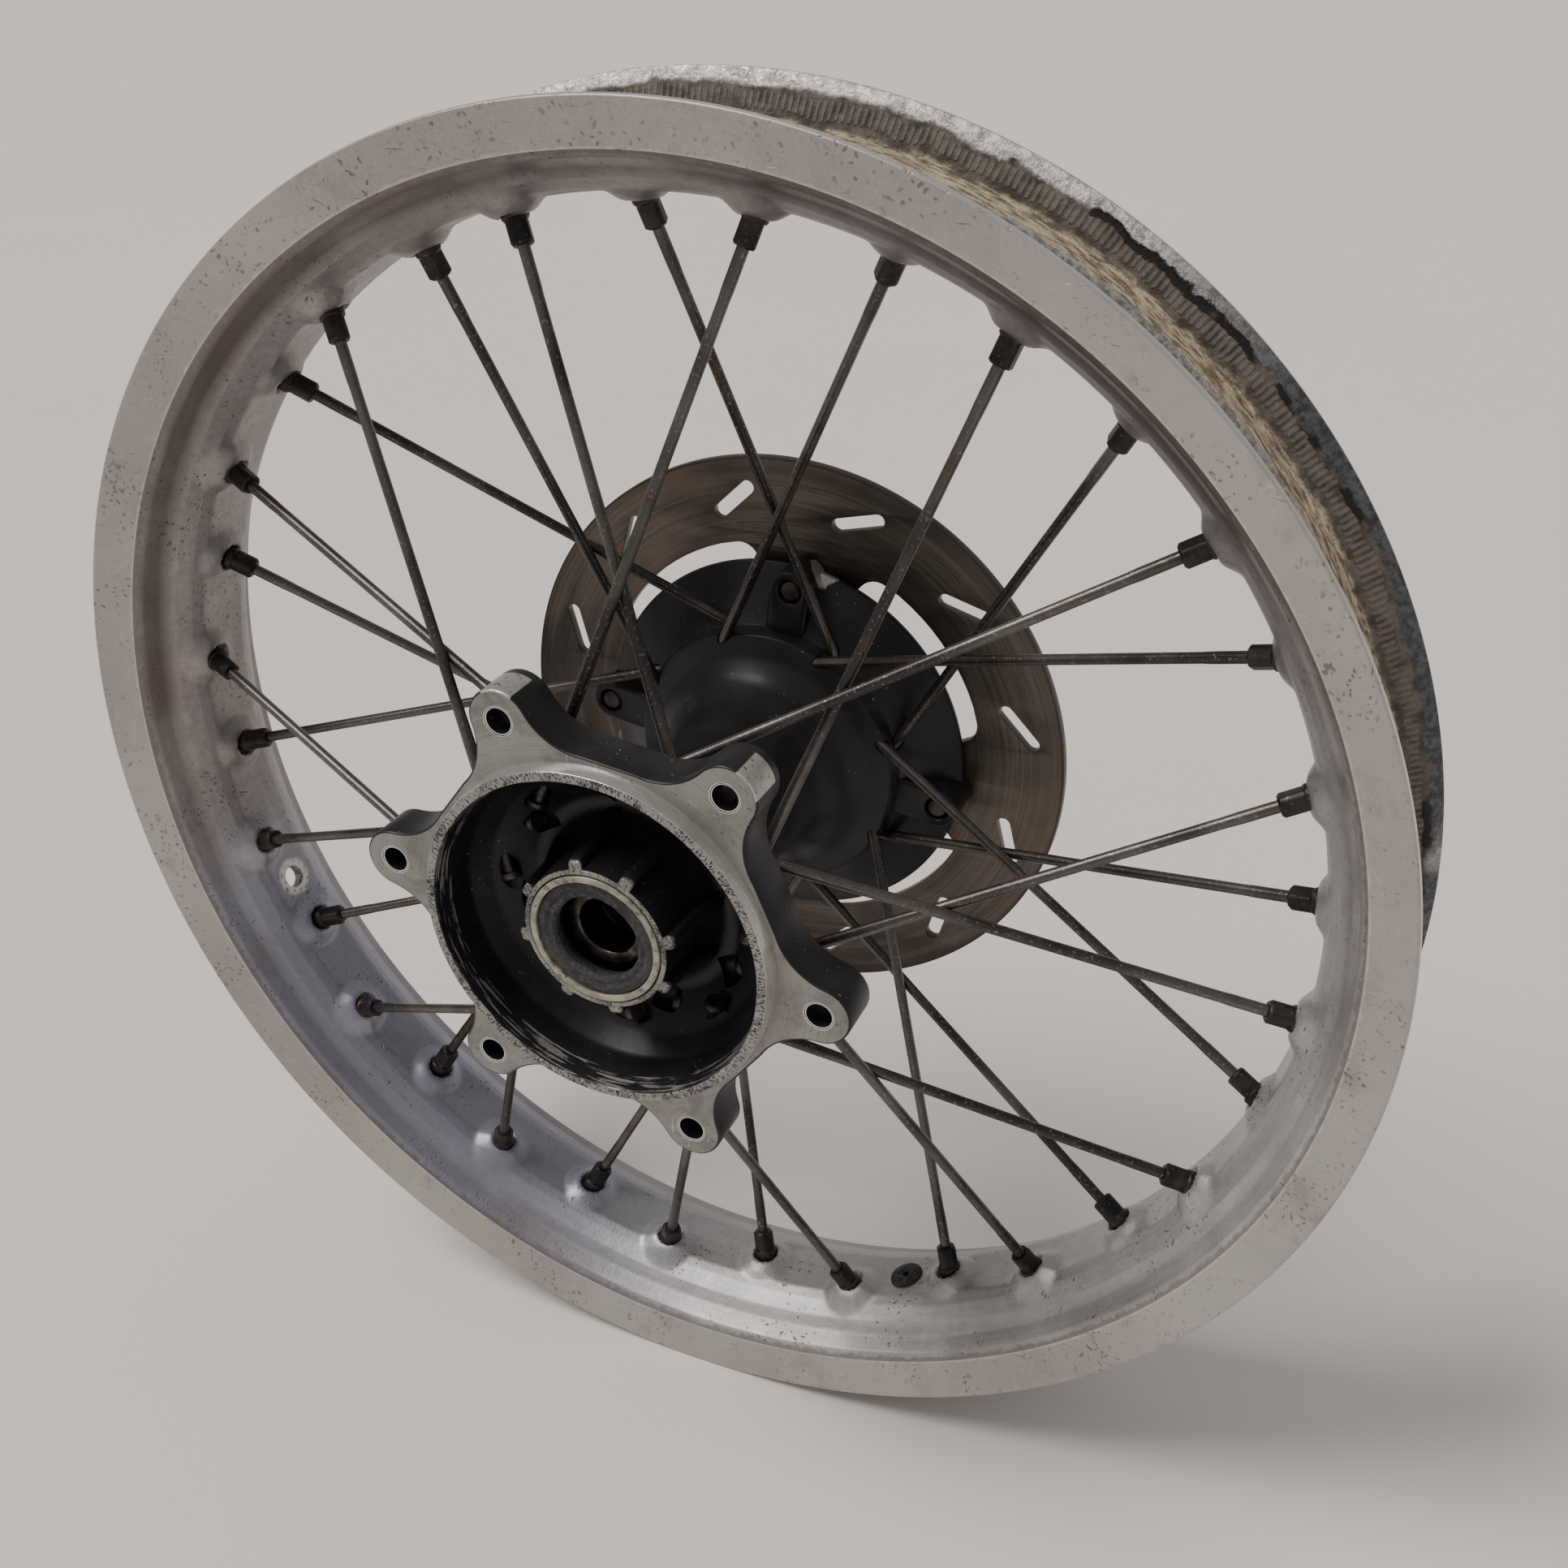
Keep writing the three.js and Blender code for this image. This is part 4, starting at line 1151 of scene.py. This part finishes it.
def disc_slot(index):
    angle = DISC_SLOT["first"] - index * 360 / DISC_SLOT["count"]
    start = on_circle(DISC_SLOT["inner"], angle + DISC_SLOT["skew"])
    end = on_circle(DISC_SLOT["outer"], angle - DISC_SLOT["skew"])
    heading = math.atan2(end.z - start.z, end.x - start.x)
    half, quarter = DISC_SLOT["half"], math.pi / 2
    outline = arc(end.x, end.z, half, heading - quarter, heading + quarter, 12)
    return outline + arc(start.x, start.z, half, heading + quarter, heading + 3 * quarter, 12)


def add_disc():
    outlines = [circle(0, 0, DISC_RADIUS, 240), disc_inside()]
    outlines += [circle(spot.x, spot.z, DISC_HOLE_RADIUS, 32) for spot in disc_bolt_spots()]
    outlines += [disc_slot(index) for index in range(DISC_SLOT["count"])]
    part = plate(outlines, DISC_FACE_Y, DISC_BACK_Y, 0.35)
    steel = disc_finish()
    add_piece("brake_disc_plate", [part], [steel], "wheel", ["brake_disc"], 30)
    bolt = bolt_finish()
    head = DISC_BACK_Y + 0.05
    outline = [
        (0, 46.3, 0), (3.1, 46.3, 0.4), (3.9, 47.1, 0.3), (3.9, head, 0), (7.2, head, 0.3),
        (7.2, head + 1.3, 0.5), (6.3, head + 1.6, 0.2), (6.3, head + 4.0, 0.2),
        (5.5, head + 4.5, 0.2), (0, head + 4.5, 0),
    ]
    hexagon = many_sided(lambda y: np.where(y > head + 1.55, 5.6, 0), 6)
    part = turned(outline, 72, hexagon)
    for index, spot in enumerate(disc_bolt_spots()):
        tightened = Matrix.Translation(spot) @ Matrix.Rotation(0.4 + index, 4, "Y")
        nodes = [f"disc_bolt_{index + 1}"]
        screwed = [moved(part, tightened)]
        add_piece(f"disc_bolt_head_{index + 1}", screwed, [bolt], "wheel", nodes)


# ---------------------------------------------------------------- bearings, seals and tube


def add_bearing(side, steel):
    y, half = BEARING_Y[side], BEARING["half"]
    pitch, ball = BEARING["pitch"], BEARING["ball"]
    groove = [(RACE_LAND, 2.9), (3.6, 1.4), (3.95, 0)]
    race = [(pitch + RACE_LAND, half, 0.5)]
    race += [(pitch + r, g, 0.3) for r, g in groove]
    race += [(pitch + r, -g, 0.3) for r, g in groove[-2::-1]]
    race += [(pitch + RACE_LAND, -half, 0.5)]
    outer = [(BEARING["outer"], -half, 0.8), (BEARING["outer"], half, 0.8), *race]
    inner = [(2 * pitch - r, g, fillet) for r, g, fillet in race]
    inner += [(BEARING["bore"], -half, 0.8), (BEARING["bore"], half, 0.8)]
    shift = Matrix.Translation((0, y, 0))
    for name, section, body in (("outer", outer, "wheel"), ("inner", inner, "axle_core")):
        part = moved(sweep_round(rounded(section)), shift)
        nodes = [f"{side}_side_{name}_race"]
        add_piece(f"{side}_{name}_ring", [part], [steel], body, nodes)
    cage_ring = [(15.8, -1.1, 0.3), (17.7, -1.1, 0.3), (17.7, 1.1, 0.3), (15.8, 1.1, 0.3)]
    parts = [sweep_round(rounded(cage_ring))]
    globe = [(ball * math.sin(t), -ball * math.cos(t), 0) for t in np.linspace(0, math.pi, 17)]
    for index in range(BEARING["balls"]):
        spot = on_circle(pitch, index * 360 / BEARING["balls"])
        parts.append(moved(turned(globe, 32), Matrix.Translation(spot)))
    parts = [moved(part, shift) for part in parts]
    nodes = [f"{side}_side_ball_cage"]
    add_piece(f"{side}_balls", parts, [steel], f"{side}_cage", nodes)


def ragged_lip(radius, y, turn):
    """Breaks up the inner lip and the face of a dried seal."""
    wave = sum(np.sin(turn * k + k * k) / k**0.7 for k in (3, 7, 13, 29, 47))
    near = np.clip((17.4 - radius) / 2.6, 0, 1)
    return radius + near * 0.22 * wave, y + 0.10 * near * np.sin(turn * 19 + wave)


def add_seals():
    seal = seal_finish()
    sprocket_seal = [
        (14.6, -84.4, 0.5), (15.6, -85.6, 0.6), (17.2, -85.2, 0.5), (18.4, -85.8, 0.5),
        (20.6, -85.7, 0.3), (20.6, -79.0, 0), (16.5, -79.0, 0), (14.8, -82.6, 0.4),
    ]
    disc_seal = [
        (14.8, 77.0, 0.5), (15.8, 77.6, 0.5), (18.6, 77.0, 0.5), (20.0, 77.6, 0.5),
        (23.1, 77.5, 0.4), (23.1, 70.8, 0), (16.5, 70.8, 0), (14.8, 74.4, 0.4),
    ]
    angles = full_turn(288)
    for side, outline in (("sprocket", sprocket_seal), ("disc", disc_seal)):
        part = sweep_round(stepped(rounded(outline), 0.8), angles, ragged_lip)
        nodes = [f"{side}_side_dust_seal"]
        add_piece(f"{side}_seal_ring", [part], [seal], "wheel", nodes, 50)
    low, high = node_box("bearing_retainer")
    collar = [
        (20.9, low.y, 0.35), (high.x - 0.1, low.y, 0.5), (high.x - 0.1, high.y, 0),
        (20.9, high.y, 0),
    ]
    part = sweep_round(stepped(rounded(collar), 1.5), angles)
    olive = olive_finish()
    add_piece("retainer_ring", [part], [olive], "wheel", ["bearing_retainer"])
    low, high = node_box("bearing_spacer_tube")
    tube = [(10.6, low.y, 0.4), (13.2, low.y, 0.4), (13.2, high.y, 0.4), (10.6, high.y, 0.4)]
    part = sweep_round(stepped(rounded(tube), 8))
    nodes = ["bearing_spacer_tube"]
    add_piece("spacer_sleeve", [part], [tube_finish()], "axle_core", nodes)


# ---------------------------------------------------------------- assembly

add_camera()
add_studio()
add_rim()
add_spokes()
add_hub()
add_disc()
bearing_steel = bearing_finish()
add_bearing("sprocket", bearing_steel)
add_bearing("disc", bearing_steel)
add_seals()
